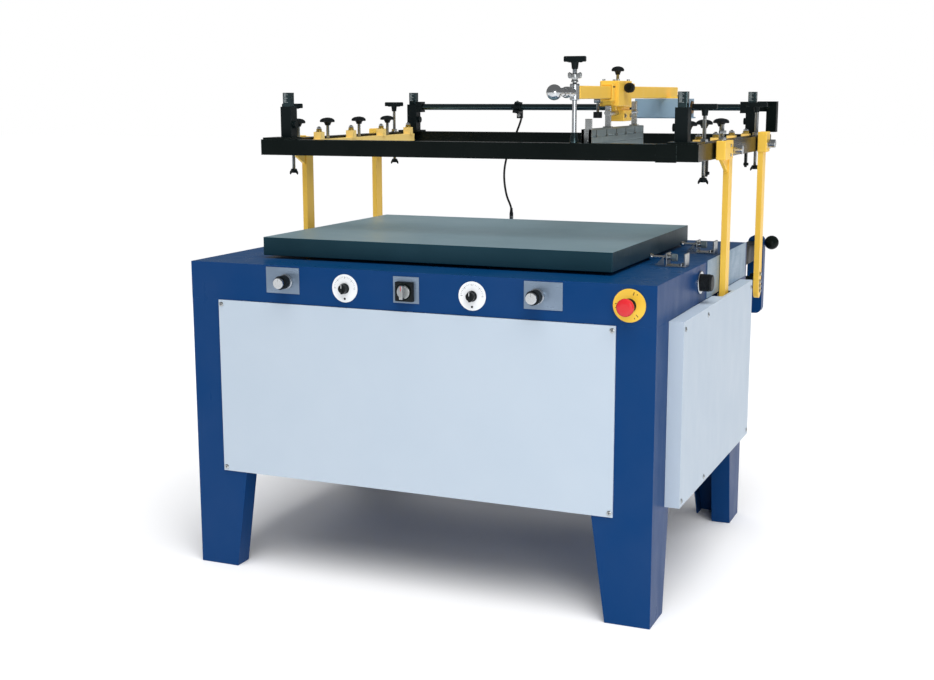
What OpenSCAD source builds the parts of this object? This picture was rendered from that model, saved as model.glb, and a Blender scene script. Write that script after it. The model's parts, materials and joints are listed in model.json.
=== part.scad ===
// Flatbed screen printing press: steel base with a vacuum table, a screen carrier on four swinging arms,
// and a one-arm squeegee that slides on a rail across the carrier.
// X runs across the machine, Y from the front to the back and Z up. All sizes are millimetres.

/* [Base] */
// Overall width of the base
base_w = 1222; // [1200:1:1222]
// Depth of the base, front face to rear face
base_d = 960; // [950:1:970]
// Height of the base's top above the floor
base_h = 800; // [795:1:805]
// Height of the lower edge of the panels
panel_z = 258; // [220:1:300]
// Height of the upper edge of the panels, where the apron starts
apron_z = 706; // [695:1:710]
// Sheet thickness of the housing and legs
sheet = 4; // [3:0.5:6]
// Width of a leg's outer face at the panels' lower edge
leg_top = 146; // [120:1:160]
// Width of a leg's outer face at the floor
leg_foot = 110; // [90:1:120]
// Depth of the folded flange on a leg's inner edge
leg_flange = 52; // [30:1:60]

/* [Table] */
// Width of the vacuum table
table_w = 940; // [900:1:960]
// Depth of the vacuum table
table_d = 715; // [690:1:730]
// Thickness of the vacuum table
table_t = 47; // [40:1:50]
// Gap between the deck and the table's underside
table_gap = 8; // [6:1:12]

/* [Lift] */
// Height of the arms' lower pivots
pivot_z = 675; // [670:1:680]
// Length of an arm between its pivots
arm_len = 400; // [395:1:405]
// Distance of the front arms' pivots behind the base's front face
front_pivot = 625; // [620:1:630]
// Distance of the rear arms' pivots behind the base's front face
rear_pivot = 1075; // [1070:1:1080]
// Width of an arm bar, seen from the side
arm_w = 40; // [36:1:44]
// Thickness of an arm bar
arm_t = 15; // [12:1:16]

/* [Carrier] */
// Overall width of the carrier frame
carrier_w = 1220; // [1200:1:1220]
// Distance of the carrier's front face behind the base's front face
carrier_front = 350; // [345:1:355]
// Depth of the carrier frame
carrier_d = 922; // [915:1:930]
// Width of the carrier's tubes
beam_w = 40; // [36:1:40]
// Height of the carrier's tubes
beam_h = 42; // [38:1:44]
// Outside width of a corner sleeve
sleeve_w = 33; // [31:1:36]
// Width of the graduated tube inside a corner sleeve
tube_w = 23; // [20:1:24]

/* [Squeegee] */
// Diameter of the rail
rail_d = 20; // [18:1:22]
// Height of the rail's centre
rail_z = 1176; // [1170:1:1180]
// Distance of the rail behind the base's front face
rail_y = 1227; // [1222:1:1230]
// Place of the squeegee arm across the machine
arm_x = 290; // [250:1:300]
// Width of the squeegee's arm tube
boom_w = 25; // [20:1:30]
// Height of the squeegee's arm tube
boom_h = 33; // [30:1:36]
// Length of the squeegee holder
holder_l = 486; // [460:1:500]

/* [Hidden] */

// Finish of curved faces
$fn = 48;
// Running clearance on the radius of a shaft in its bore
run = 0.05;
// Clearance between pieces that move past each other
slip = 0.5;
// How far the front controls stand out, and how far back the squeegee arm reaches
front_reach = 46;
rear_reach = 1340;
// Distance from the base's front face to the origin, the middle of the overall depth
origin_y = (rear_reach - front_reach) / 2;
// Half of the base's width, and the side covers' outer face
side_x = base_w / 2;
cover_t = 36;
cover_y0 = 105;
cover_y1 = 877;
cover_z0 = 264;
// Screws of the panels: head, hole, and their places along a side cover
screw_head = 12;
screw_hole = 5;
cover_screw_y = [cover_y0 + 16, 345, cover_y1 - 16];
// Arms
arm_x0 = side_x + 3.5;
top_z = pivot_z + arm_len;
stub = 49;
pin_d = 24;
pin_end = 660;
shaft_d = 28;
shaft_end = arm_x0 - slip;
// Carrier
beam_z = top_z - 21;
beam_top = beam_z + beam_h;
carrier_x = carrier_w / 2;
carrier_rear = carrier_front + carrier_d;
corner_t = 5;
post_z = beam_top + corner_t;
sleeve_top = 1184;
tube_top = 1222;
post_front = [555, 410];
post_rear = [560, rail_y];
wall = 3;
rail_end = 545;
// Table
table_y = 121;
table_z = base_h + table_gap;
// Front controls: places across the front and height
knob_x = 330;
knob_z = 762;
dial_x = 168;
dial_z = 753;
switch_x = -4;
switch_z = 755;
estop_x = 548;
estop_z = 753;
// Regulator on the right side
reg_y = 398;
reg_z = 757;
// Posts behind the base, with the ball knobs
pillar_x = 590;
pillar_y = 1215;
pillar_z0 = 560;
pillar_z1 = 795;
pillar_w = 46;
ball_d = 42;
// Inner edge of the uprights behind the panels
upright_x = 400;
// Stop switch on the rail
stop_x = -190;
// Lift cylinder: how far its rod lies below the shaft, and the crank's slot and angle at rest
rod_drop = 78;
slot_w = 17.6;
crank_rest = -28;
rod_z = pivot_z - rod_drop;
rod_y = rear_pivot + rod_drop * tan(crank_rest);
// Squeegee: underside of the arm, height screw, holder, and the head's jaws, neck and tilt pin
boom_z = 1204;
foot_y = 366;
holder_y = 464;
holder_z = [1074, 1128];
jaw_y = [630, 656, 778];
neck_y = [727, 803];
lug_y = [646, 896];
tilt_z = 1166;
blade_top = 1089.8;
// Clamps along the carrier's sides
clamp_y = [577, 773, 974, 1170];
star_y = [460, 630, 826, 1020];
guide_y = [530, 1105];
screw_y = [490, 1140];
star_z = 1139;
// Route of the stop switch's lead, from the switch to its plug
cable_d = 7;
cable_route = [[-192, 1243, 1150], [-192, 1256, 1150], [-194, 1268, 1147], [-200, 1281, 1137],
    [-210, 1292, 1119], [-222, 1299, 1096], [-235, 1303, 1070], [-248, 1304, 1042], [-259, 1304, 1012],
    [-266, 1304, 980], [-268, 1304, 948], [-265, 1304, 916], [-258, 1304, 884], [-247, 1304, 858],
    [-243, 1304, 846], [-242, 1304, 840], [-242, 1304, 832]];

// Moves a piece from the machine's own measurements to the part's origin
module placed() {
    translate([0, -origin_y, 0]) children();
}

// Draws the children on the right and mirrored on the left
module both() {
    children();
    mirror([1, 0, 0]) children();
}

// Box between two corners
module block(a, b) {
    translate(a) cube([b[0] - a[0], b[1] - a[1], b[2] - a[2]]);
}

// Round bars along X, Y and Z, from a start point
module bar_x(p, l, d, fn = 48) {
    translate(p) rotate([0, 90, 0]) cylinder(h = l, d = d, $fn = fn);
}

module bar_y(p, l, d, fn = 48) {
    translate(p) rotate([-90, 0, 0]) cylinder(h = l, d = d, $fn = fn);
}

module bar_z(p, l, d, fn = 48) {
    translate(p) cylinder(h = l, d = d, $fn = fn);
}

// Rectangular tube along Y or X with its walls
module tube_y(a, b) {
    difference() {
        block(a, b);
        block([a[0] + wall, a[1] - 1, a[2] + wall], [b[0] - wall, b[1] + 1, b[2] - wall]);
    }
}

module tube_x(a, b) {
    difference() {
        block(a, b);
        block([a[0] - 1, a[1] + wall, a[2] + wall], [b[0] + 1, b[1] - wall, b[2] - wall]);
    }
}

// Star knob: a hub with five slightly lower lobes round it, on a neck
module star_knob(d, h) {
    edge = 1;
    cylinder(h = h, d = d * 0.7);
    for (a = [20:72:359]) {
        rotate(a) translate([d * 0.31, 0, edge]) cylinder(h = h - 2 * edge, d = d * 0.36);
    }
    translate([0, 0, -h]) cylinder(h = h * 1.2, d = d * 0.42);
}

// T handle, its screw and the wing nut below it
module t_handle(w, h) {
    translate([-w / 2, -h / 2, 0]) cube([w, h, h]);
    translate([0, 0, -h * 1.1]) cylinder(h = h * 1.2, d1 = h * 0.9, d2 = h * 1.3);
}

module wing_nut() {
    cylinder(h = 12, d = 18);
    for (s = [-1, 1]) {
        rotate([0, s * 38, 0]) translate([s > 0 ? -14 : -2, -2, -16]) cube([16, 4, 22]);
    }
}

// ---- Base ----

// Upright inside a panel that joins the lower rail to the apron
module upright() {
    block([upright_x, sheet + 0.2, panel_z + 10], [upright_x + 40, 2 * sheet + 0.2, apron_z + 30]);
    block([upright_x, sheet - 0.5, apron_z + 5], [upright_x + 40, 2 * sheet, apron_z + 30]);
}

// Welded sheet housing: apron walls, lower rails and two cross members under the deck
module housing() {
    placed() color("#1f4f94") difference() {
        union() {
            difference() {
                block([-side_x, 0, apron_z], [side_x, base_d, base_h]);
                block([-side_x + sheet, sheet, apron_z - 1], [side_x - sheet, base_d - sheet, base_h + 1]);
            }
            difference() {
                block([-side_x + 6, 6, panel_z + 4], [side_x - 6, base_d - 6, panel_z + 44]);
                block([-side_x + 10, 10, panel_z + 3], [side_x - 10, base_d - 10, panel_z + 45]);
            }
            for (y = [430, 560]) {
                block([-side_x + sheet, y, base_h - 70], [side_x - sheet, y + sheet, base_h - 26]);
            }
            block([-side_x + 10, 300, panel_z + 4], [side_x - 10, 600, panel_z + 8]);
            both() {
                upright();
                translate([0, base_d, 0]) mirror([0, 1, 0]) upright();
            }
        }
        bar_y([-knob_x, -1, knob_z], 8, 14);
        bar_y([knob_x, -1, knob_z], 8, 14);
        for (s = [-1, 1]) {
            bar_y([s * dial_x, -1, dial_z], 8, 8 + 2 * run);
        }
        bar_y([switch_x, -1, switch_z], 8, 10 + 2 * run);
        bar_y([estop_x, -1, estop_z], 8, 22 + 2 * run);
        bar_x([side_x - 6, reg_y, reg_z], 8, 12 + 2 * run);
    }
}

// One leg: two tapered outer faces and two folded flanges, drawn for the front right corner
module leg_shape() {
    zt = apron_z;
    for (m = [0, 1]) {
        // front face (m = 0) and side face (m = 1)
        mirror([m, m, 0]) {
            translate([0, sheet, 0]) rotate([90, 0, 0]) linear_extrude(sheet) polygon([
                [0, 0], [-leg_foot, 0], [-leg_top, panel_z], [-leg_top, zt], [0, zt]]);
            difference() {
                translate([0, leg_flange, 0]) rotate([90, 0, 0]) linear_extrude(leg_flange) polygon([
                    [-leg_foot, 0], [-leg_foot + sheet, 0], [-leg_top + sheet, panel_z],
                    [-leg_top + sheet, zt], [-leg_top, zt], [-leg_top, panel_z]]);
                translate([-leg_top - 1, sheet + 1, panel_z + 2]) cube([leg_top, leg_flange, zt]);
            }
        }
    }
}

// A leg at a corner: sx and sy are 1 for right and rear
module leg_at(sx, sy) {
    placed() color("#1c4686") difference() {
        translate([sx * side_x, sy > 0 ? base_d : 0, 0])
            mirror([sx > 0 ? 0 : 1, 0, 0]) mirror([0, sy > 0 ? 1 : 0, 0]) leg_shape();
        // notch in the flanges for the housing's lower rail
        block([-side_x + 5.5, 5.5, panel_z + 3.5], [side_x - 5.5, base_d - 5.5, panel_z + 44.5]);
    }
}

module leg_front_left() { leg_at(-1, -1); }
module leg_front_right() { leg_at(1, -1); }
module leg_rear_left() { leg_at(-1, 1); }
module leg_rear_right() { leg_at(1, 1); }

// Flat panels on the front and the rear, with folded edges
module front_panel() {
    placed() color("#d5dce8") difference() {
        block([-530, -4, panel_z], [518, -slip / 10, apron_z - 1]);
        for (x = [-522, 510], z = [panel_z + 10, apron_z - 12]) {
            bar_y([x, -6, z], 8, screw_hole);
        }
    }
}

module rear_panel() {
    placed() color("#d5dce8") difference() {
        block([-side_x + leg_top + 1, base_d - 3.9, panel_z + 46],
            [side_x - leg_top - 1, base_d - 0.5, apron_z - 1]);
        block([-40, base_d - 10, rod_z - 40], [40, base_d + 10, rod_z + 40]);
    }
}

// Boxed side cover with a slot in its top for the front arm
module cover_right() {
    x0 = side_x + 0.3;
    x1 = side_x + cover_t;
    difference() {
        block([x0, cover_y0, cover_z0], [x1, cover_y1, apron_z - 1]);
        block([x0 - 1, cover_y0 + 2, cover_z0 + 2], [x1 - 2, cover_y1 - 2, apron_z - 3]);
        block([x0 - 1, front_pivot - 92, apron_z - 30], [x1 - 8, front_pivot + 28, apron_z + 1]);
        for (y = cover_screw_y, z = [cover_z0 + 14, apron_z - 20]) {
            bar_x([x1 - 4, y, z], 6, screw_hole);
        }
    }
}

module right_cover() {
    placed() color("#d5dce8") cover_right();
}

module left_cover() {
    placed() color("#d5dce8") mirror([1, 0, 0]) cover_right();
}

// Top plate of the base, open under the table
module deck() {
    placed() color("#4f7186") difference() {
        block([-side_x + sheet + 0.2, sheet + 0.2, base_h - 3],
            [side_x - sheet - 0.2, base_d - sheet - 0.2, base_h]);
        block([-300, 250, base_h - 5], [300, 700, base_h + 2]);
    }
}

// Grey plates on the sides of the apron
module side_plates() {
    placed() color("#9aa8bd") both() block([side_x + 0.2, 470, apron_z + 1], [side_x + 2, 937, base_h + 3]);
}

// Screws of the front panel and the side covers
module panel_screws() {
    placed() color("silver") {
        for (x = [-522, 510], z = [panel_z + 10, apron_z - 12]) {
            bar_y([x, -6.5, z], 2.4, screw_head);
            bar_y([x, -4.2, z], 4, 4.6);
        }
        both() for (y = cover_screw_y, z = [cover_z0 + 14, apron_z - 20]) {
            bar_x([side_x + cover_t + 0.1, y, z], 2.4, screw_head);
            bar_x([side_x + cover_t - 2, y, z], 2.3, 4.6);
        }
    }
}

// Stub axles of the front arms, bolted to the housing inside the covers
module front_bearings() {
    placed() color("silver") both() {
        block([side_x + 0.3, front_pivot - 30, pivot_z - 60], [side_x + 2.6, front_pivot + 30, pivot_z + 28]);
        bar_x([side_x + 1, front_pivot, pivot_z], arm_t + 8, pin_d);
    }
}

// Brackets behind the base that carry the torsion shaft
module shaft_bearings() {
    placed() color("#20242a") both() difference() {
        union() {
            block([480, base_d + 0.3, pivot_z - 45], [520, base_d + 10, pivot_z + 45]);
            block([490, base_d + 5, pivot_z - 22], [510, rear_pivot, pivot_z + 22]);
            bar_x([485, rear_pivot, pivot_z], 30, 56);
        }
        bar_x([470, rear_pivot, pivot_z], 60, shaft_d + 2 * run);
    }
}

// Blue round-ended posts behind the base
module rear_pillars() {
    placed() color("#2b5794") both() difference() {
        union() {
            block([pillar_x - pillar_w / 2, pillar_y - 16, pillar_z0 + 18],
                [pillar_x + pillar_w / 2, pillar_y + 16, pillar_z1 - 18]);
            for (z = [pillar_z0 + 18, pillar_z1 - 18]) {
                block([pillar_x - pillar_w / 2 + 18, pillar_y - 16, z - 18],
                    [pillar_x + pillar_w / 2 - 18, pillar_y + 16, z + 18]);
                for (s = [-1, 1]) {
                    bar_y([pillar_x + s * (pillar_w / 2 - 18), pillar_y - 16, z], 32, 36);
                }
            }
        }
        bar_x([pillar_x - 40, pillar_y, pillar_z1 - 20], 80, 12 + 2 * run);
    }
}

// Black brackets between the base and the posts
module pillar_brackets() {
    placed() color("#1b2a30") both() {
        block([565, base_d + 0.3, 722], [605, base_d + 8, 784]);
        block([570, base_d + 6, 728], [600, pillar_y - 16.2, 780]);
    }
}

// ---- Controls ----

// Grey plates behind the speed knobs and the main switch
module control_plates() {
    placed() color("#7f8b96") {
        for (x = [-knob_x - 12, knob_x + 14]) {
            difference() {
                block([x - 47, -1.7, 731], [x + 47, -0.2, 796]);
                bar_y([x < 0 ? -knob_x : knob_x, -3, knob_z], 6, 16);
            }
        }
        difference() {
            block([switch_x - 33, -1.7, switch_z - 29], [switch_x + 35, -0.2, switch_z + 35]);
            bar_y([switch_x, -3, switch_z], 6, 12);
        }
    }
}

// White graduated discs behind the dial knobs, and the yellow disc behind the emergency stop
module legend_discs() {
    placed() color("white") for (s = [-1, 1]) {
        difference() {
            bar_y([s * dial_x, -2.2, dial_z], 2, 69);
            bar_y([s * dial_x, -4, dial_z], 6, 12);
        }
    }
    placed() color("#e8c23a") difference() {
        bar_y([estop_x, -3.2, estop_z], 3, 76);
        bar_y([estop_x, -5, estop_z], 8, 22 + 2 * run);
    }
}

// Black body of the main switch
module switch_box() {
    placed() color("#15181c") difference() {
        block([switch_x - 24, -12, switch_z - 24], [switch_x + 23, -1.9, switch_z + 23]);
        bar_y([switch_x, -13, switch_z], 14, 10 + 2 * run);
    }
}

// Metal collars of the two speed knobs and the bezel of the side regulator
module control_collars() {
    placed() color("#c8ccd0") {
        for (s = [-1, 1]) {
            difference() {
                bar_y([s * knob_x, -14, knob_z], 12.2, 37);
                bar_y([s * knob_x, -15, knob_z], 15, 12 + 2 * run);
            }
        }
        difference() {
            bar_x([side_x + 0.2, reg_y, reg_z], 4, 58);
            bar_x([side_x - 1, reg_y, reg_z], 8, 12 + 2 * run);
        }
    }
}

// Speed knob with a metal cap
module speed_knob(x) {
    placed() color("#202326") {
        bar_y([x, -38, knob_z], 23.5, 33);
        bar_y([x, -front_reach, knob_z], 9, 28);
        bar_y([x, -15, knob_z], 17, 12);
    }
}

module speed_knob_left() { speed_knob(-knob_x); }
module speed_knob_right() { speed_knob(knob_x); }

// Small dial knob with a pointer rib
module dial_knob(x) {
    placed() color("#15181c") {
        bar_y([x, -18, dial_z], 15.5, 26);
        block([x - 2.5, -21, dial_z - 12], [x + 2.5, -17, dial_z + 12]);
        bar_y([x, -4, dial_z], 6, 8);
    }
}

module dial_knob_left() { dial_knob(-dial_x); }
module dial_knob_right() { dial_knob(dial_x); }

// Handle of the main switch
module switch_handle() {
    placed() color("silver") {
        bar_y([switch_x, -16, switch_z], 3.7, 34);
        block([switch_x - 5, -30, switch_z - 17], [switch_x + 5, -15, switch_z + 17]);
        bar_y([switch_x, -13, switch_z], 15, 10);
    }
}

// Mushroom button of the emergency stop
module estop_button() {
    placed() color("#d8303a") {
        bar_y([estop_x, -40, estop_z], 14, 41);
        translate([estop_x, -40, estop_z]) rotate([90, 0, 0]) cylinder(h = 4, d1 = 41, d2 = 33);
        bar_y([estop_x, -27, estop_z], 32, 22);
    }
}

// Regulator knob on the right side
module regulator_knob() {
    placed() color("#15181c") {
        bar_x([side_x + 4.6, reg_y, reg_z], 28, 43);
        bar_x([side_x - 3, reg_y, reg_z], 10, 12);
    }
}

// Ball knob standing just clear of the post on its threaded stud
module ball_knob() {
    translate([pillar_x + pillar_w / 2 + slip + ball_d / 2, pillar_y, pillar_z1 - 20]) sphere(d = ball_d);
    bar_x([pillar_x - 20, pillar_y, pillar_z1 - 20], 50, 12);
}

module ball_knob_right() {
    placed() color("#14161a") ball_knob();
}

module ball_knob_left() {
    placed() color("#14161a") mirror([1, 0, 0]) ball_knob();
}

// ---- Inside the base ----

// Side-channel blower that feeds the vacuum table, on the lower shelf
module vacuum_blower() {
    placed() color("#7c8288") {
        bar_x([-130, 450, panel_z + 150], 60, 250);
        bar_x([-72, 450, panel_z + 150], 190, 150);
        block([-110, 360, panel_z + 8.2], [100, 540, panel_z + 60]);
        bar_z([-100, 380, panel_z + 150], 260, 50);
        bar_z([-100, 380, panel_z + 400], 40, 70);
    }
}

// Pneumatic cylinder that swings the arms, hung below the housing's cross members
module lift_cylinder() {
    placed() color("#b9bec4") difference() {
        union() {
            bar_y([0, 600, rod_z], 240, 70);
            block([-42, 590, rod_z - 42], [42, 612, rod_z + 42]);
            block([-42, 828, rod_z - 42], [42, 850, rod_z + 42]);
            block([-20, 592, rod_z + 30], [20, 606, base_h - 66]);
            block([-120, 559, base_h - 80], [120, 606, base_h - 70.2]);
        }
        bar_y([0, 640, rod_z], 220, 25 + 2 * run);
    }
}

// Piston rod with a cross pin that works in the crank's slot
module cylinder_rod() {
    placed() color("#d9dde2") {
        bar_y([0, 660, rod_z], rod_y - 660 - 38, 25);
        block([-24, rod_y - 40, rod_z - 14], [24, rod_y - 34, rod_z + 14]);
        both() block([18, rod_y - 36, rod_z - 14], [24, rod_y + 12, rod_z + 14]);
        bar_x([-24, rod_y, rod_z], 48, 14);
    }
}

// ---- Table ----

// Micrometer brackets of the table's register, on the deck at the right
module register_brackets() {
    placed() color("#cdd3d8") {
        for (y = [330, 640]) {
            block([540, y, base_h + 0.2], [590, y + 40, base_h + 4]);
            for (x = [540, 586]) {
                block([x, y, base_h + 3], [x + 4, y + 40, base_h + 34]);
            }
            bar_x([500, y + 20, base_h + 22], 60, 8);
            bar_x([556, y + 20, base_h + 22], 14, 18);
            translate([500, y + 20, base_h + 22]) sphere(d = 14);
        }
    }
}

// Cross slide under the table
module table_cradle() {
    placed() color("#3c4248") difference() {
        union() {
            block([-260, 290, base_h - 24], [260, 330, base_h + 2]);
            block([-260, 620, base_h - 24], [260, 660, base_h + 2]);
            block([-30, 325, base_h - 24], [30, 625, base_h - 8]);
        }
        for (x = [-180, 180], y = [310, 640]) {
            block([x - 10.3, y - 60, base_h - 6], [x + 10.3, y + 60, base_h + 3]);
        }
    }
}

// Hollow vacuum table with its air port and four guide keys below
module table_top() {
    placed() color("#566a70") {
        difference() {
            block([-table_w / 2, table_y, table_z], [table_w / 2, table_y + table_d, table_z + table_t]);
            block([-table_w / 2 + wall, table_y + wall, table_z + wall],
                [table_w / 2 - wall, table_y + table_d - wall, table_z + table_t - 4]);
            bar_z([0, table_y + table_d / 2, table_z - 1], 6, 50);
        }
        for (x = [-180, 180], y = [310, 640]) {
            block([x - 10, y - 8, base_h - 5], [x + 10, y + 8, table_z + 1]);
        }
    }
}

// ---- Lift ----

// Yellow arm bar with round ends and its bores; head adds the block at the top
module arm_bar(y, rear) {
    zb = pivot_z - stub;
    difference() {
        union() {
            block([arm_x0, y - arm_w / 2, zb + arm_w / 2], [arm_x0 + arm_t, y + arm_w / 2, top_z + 6]);
            bar_x([arm_x0, y, zb + arm_w / 2], arm_t, arm_w);
            bar_x([arm_x0, y, top_z + 2], arm_t, arm_w);
            if (rear) {
                block([arm_x0 - 2, y - 22, top_z - 24], [arm_x0 + 24, y + 30, top_z + 34]);
            } else {
                block([arm_x0 - 2, y - 110, top_z - 23], [arm_x0 + 24, y - 16, top_z + 25]);
                translate([arm_x0 + 3, y, 0]) rotate([90, 0, 90]) linear_extrude(9) polygon([
                    [-92, top_z - 22], [-18, top_z - 60], [-18, top_z - 22]]);
            }
        }
        bar_x([arm_x0 - 5, y, top_z], arm_t + 40, pin_d + 2 * run);
        if (!rear) {
            bar_x([arm_x0 - 5, y, pivot_z], arm_t + 10, pin_d + 2 * run);
            // clearance round the carrier's side beam when the arm swings down
            block([arm_x0 - 6, y - 130, top_z - 40], [arm_x0 - 1, y - 10, top_z + 40]);
        }
    }
}

// Adjusting screw with nuts on an arm's block
module arm_screw(y, z) {
    bar_z([arm_x0 + 10, y, z], 14, 16);
    bar_z([arm_x0 + 10, y, z + 13], 30, 9);
    translate([arm_x0 + 10, y, z + 20]) cylinder(h = 8, d = 19, $fn = 6);
    translate([arm_x0 + 10, y, z + 34]) cylinder(h = 8, d = 19, $fn = 6);
}

module front_arms() {
    placed() color("#e8b93c") both() {
        arm_bar(front_pivot, false);
        arm_screw(front_pivot - 85, top_z + 24);
    }
}

module rear_arms() {
    placed() color("#e8b93c") both() {
        arm_bar(rear_pivot, true);
        for (z = [pivot_z + 22, pivot_z, pivot_z - 14, pivot_z - 28]) {
            bar_x([arm_x0 + arm_t - 0.5, rear_pivot, z], 5, 10, 6);
        }
    }
}

// Shaft across the back that joins the rear arms, with the slotted crank
module torsion_shaft() {
    placed() color("#23282c") {
        bar_x([-shaft_end, rear_pivot, pivot_z], 2 * shaft_end, shaft_d);
        both() bar_x([shaft_end - 12, rear_pivot, pivot_z], 12, 46);
        difference() {
            translate([-9, rear_pivot, pivot_z]) rotate([crank_rest, 0, 0]) union() {
                block([0, -17, -rod_drop - 30], [18, 17, 0]);
                bar_x([0, 0, 0], 18, 56);
            }
            translate([-10, rear_pivot, pivot_z]) rotate([crank_rest, 0, 0])
                block([0, -slot_w / 2, -rod_drop - 32], [20, slot_w / 2, -rod_drop + 12]);
        }
    }
}

// ---- Carrier ----

// Black frame of rectangular tube with corner plates
module carrier_frame() {
    placed() color("#14201f") difference() {
        union() {
            tube_x([-carrier_x, carrier_front, beam_z], [carrier_x, carrier_front + beam_w, beam_top]);
            tube_x([-carrier_x, carrier_rear - beam_w, beam_z], [carrier_x, carrier_rear, beam_top]);
            both() {
                tube_y([carrier_x - beam_w, carrier_front + beam_w - 1, beam_z],
                    [carrier_x, carrier_rear - beam_w + 1, beam_top]);
                for (y = [carrier_front, carrier_rear - beam_w]) {
                    block([carrier_x - wall, y, beam_z], [carrier_x, y + beam_w, beam_top]);
                }
                block([530, carrier_front + 4, beam_top - 1], [606, 434, post_z]);
                block([536, rail_y - 24, beam_top - 1], [606, carrier_rear - 4, post_z]);
            }
            // telescoping sleeve at the right end of the front tube
            block([504, carrier_front - 2, beam_z - 2], [556, carrier_front + 2, beam_top + 1]);
        }
        both() {
            for (y = [front_pivot, rear_pivot]) {
                bar_x([carrier_x - beam_w - 1, y, top_z], beam_w + 2, pin_d - 4 + 2 * run);
            }
            for (y = guide_y) {
                bar_x([carrier_x - beam_w - 1, y, top_z + 2], wall + 2, 10 + 2 * run);
            }
            for (y = screw_y) {
                bar_z([590, y, beam_z - 1], beam_h + 2, 11);
            }
        }
    }
}

// Outer sleeves of the corner posts with their clamp bosses; the rear ones hold the rail in a lug
module corner_sleeves() {
    placed() color("#111a1c") both() for (p = [post_front, post_rear]) {
        difference() {
            union() {
                translate([p[0] - sleeve_w / 2, p[1] - sleeve_w / 2, post_z + 0.1])
                    cube([sleeve_w, sleeve_w, sleeve_top - post_z]);
                bar_x([p[0] - sleeve_w / 2 - 8, p[1], post_z + 34], 12, 20);
                if (p[1] == rail_y) {
                    block([rail_end - 19, p[1] - 15, rail_z - 17],
                        [p[0] - sleeve_w / 2 + 1, p[1] + 15, rail_z + 17]);
                }
            }
            translate([p[0] - tube_w / 2 - slip, p[1] - tube_w / 2 - slip, post_z - 1])
                cube([tube_w + 2 * slip, tube_w + 2 * slip, sleeve_top]);
            if (p[1] == rail_y) {
                bar_x([rail_end - 30, p[1], rail_z], 31, rail_d + 2 * run);
            }
        }
    }
}

// Graduated tubes inside the sleeves
module post_tubes() {
    placed() color("#2a3336") both() for (p = [post_front, post_rear]) {
        difference() {
            translate([p[0] - tube_w / 2, p[1] - tube_w / 2, post_z + 0.1])
                cube([tube_w, tube_w, tube_top - post_z]);
            translate([p[0] - tube_w / 2 + 3, p[1] - tube_w / 2 + 3, post_z + 20])
                cube([tube_w - 6, tube_w - 6, tube_top]);
        }
    }
}

// Round rail that the squeegee slides on
module squeegee_rail() {
    placed() color("#31464a") bar_x([-rail_end, rail_y, rail_z], 2 * rail_end, rail_d);
}

// Black hook-shaped bracket at the rear right corner
module rail_bracket() {
    placed() color("#11181a") {
        block([577, rail_y - 14, 1164], [634, rail_y + 14, 1194]);
        block([604, rail_y - 14, 1104], [634, rail_y + 14, 1166]);
        bar_y([606, rail_y - 20, 1179], 40, 12);
    }
}

// Pins of the four upper pivots, fixed in the side beams
module pivot_pins() {
    placed() color("silver") both() for (y = [front_pivot, rear_pivot]) {
        bar_x([carrier_x - beam_w, y, top_z], beam_w + 1, pin_d - 4);
        bar_x([carrier_x + 0.2, y, top_z], pin_end - carrier_x - 0.2, pin_d);
    }
}

// Stop switch clamped on the rail, which ends the squeegee's stroke
module stroke_stop() {
    placed() color("#12171a") difference() {
        union() {
            block([stop_x - 19, rail_y - 17, rail_z - 20], [stop_x + 19, rail_y + 17, rail_z + 22]);
            block([stop_x - 10, rail_y + 12, 1140], [stop_x + 8, rail_y + 26, rail_z]);
        }
        bar_x([stop_x - 30, rail_y, rail_z], 60, rail_d + 2 * run);
        bar_y([stop_x - 2, rail_y + 16, 1150], 20, cable_d + 0.4);
    }
}

// Hanging straps with their bolts under the right beam
module support_straps() {
    placed() color("#161c1e") for (y = [569, 1061]) {
        block([576, y - 9, 1016], [582, y + 9, beam_z - 0.1]);
        bar_x([576, y, 1016], 6, 18);
        bar_x([573, y, 1016], 14, 8);
    }
}

// Yellow clamp bar with its four blocks and two guide pins, drawn for the right side;
// the blocks of the left bar are taller
module clamp_bar(block_top) {
    block([546, 440, 1064], [566, 1200, 1090]);
    for (y = clamp_y) {
        block([542, y - 10, 1088], [567, y + 10, block_top]);
    }
    for (y = guide_y) {
        bar_x([560, y, top_z + 2], 44, 10);
    }
}

module clamp_bar_right() {
    placed() color("#e5b83e") difference() {
        clamp_bar(1100);
        for (i = [0:2]) {
            bar_z([556, star_y[i], 1060], 60, 10.6);
        }
    }
}

module clamp_bar_left() {
    placed() color("#e5b83e") mirror([1, 0, 0]) difference() {
        clamp_bar(1111);
        for (y = star_y) {
            bar_z([556, y, 1060], 60, 10.6);
        }
    }
}

// Star knobs of the clamps: screw, pressure foot and knob
module clamp_knob(y) {
    translate([556, y, star_z]) star_knob(46, 11);
    bar_z([556, y, 1052], star_z - 1052, 10);
    bar_z([556, y, 1049], 6, 18);
}

module clamp_knobs_right() {
    placed() color("#1a1d20") for (i = [0:2]) {
        clamp_knob(star_y[i]);
    }
}

module clamp_knobs_left() {
    placed() color("#1a1d20") mirror([1, 0, 0]) for (y = star_y) {
        clamp_knob(y);
    }
}

// Four T-handle screws through the side beams, each with a wing nut below
module frame_screws() {
    placed() color("#aab2b8") both() for (y = screw_y) {
        bar_z([590, y, 1000], 182, 10);
        translate([590, y, 1178]) t_handle(62, 14);
        translate([590, y, beam_top + 0.3]) cylinder(h = 9, d = 20, $fn = 6);
        translate([590, y, 1006]) wing_nut();
    }
}

// ---- Squeegee ----

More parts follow.
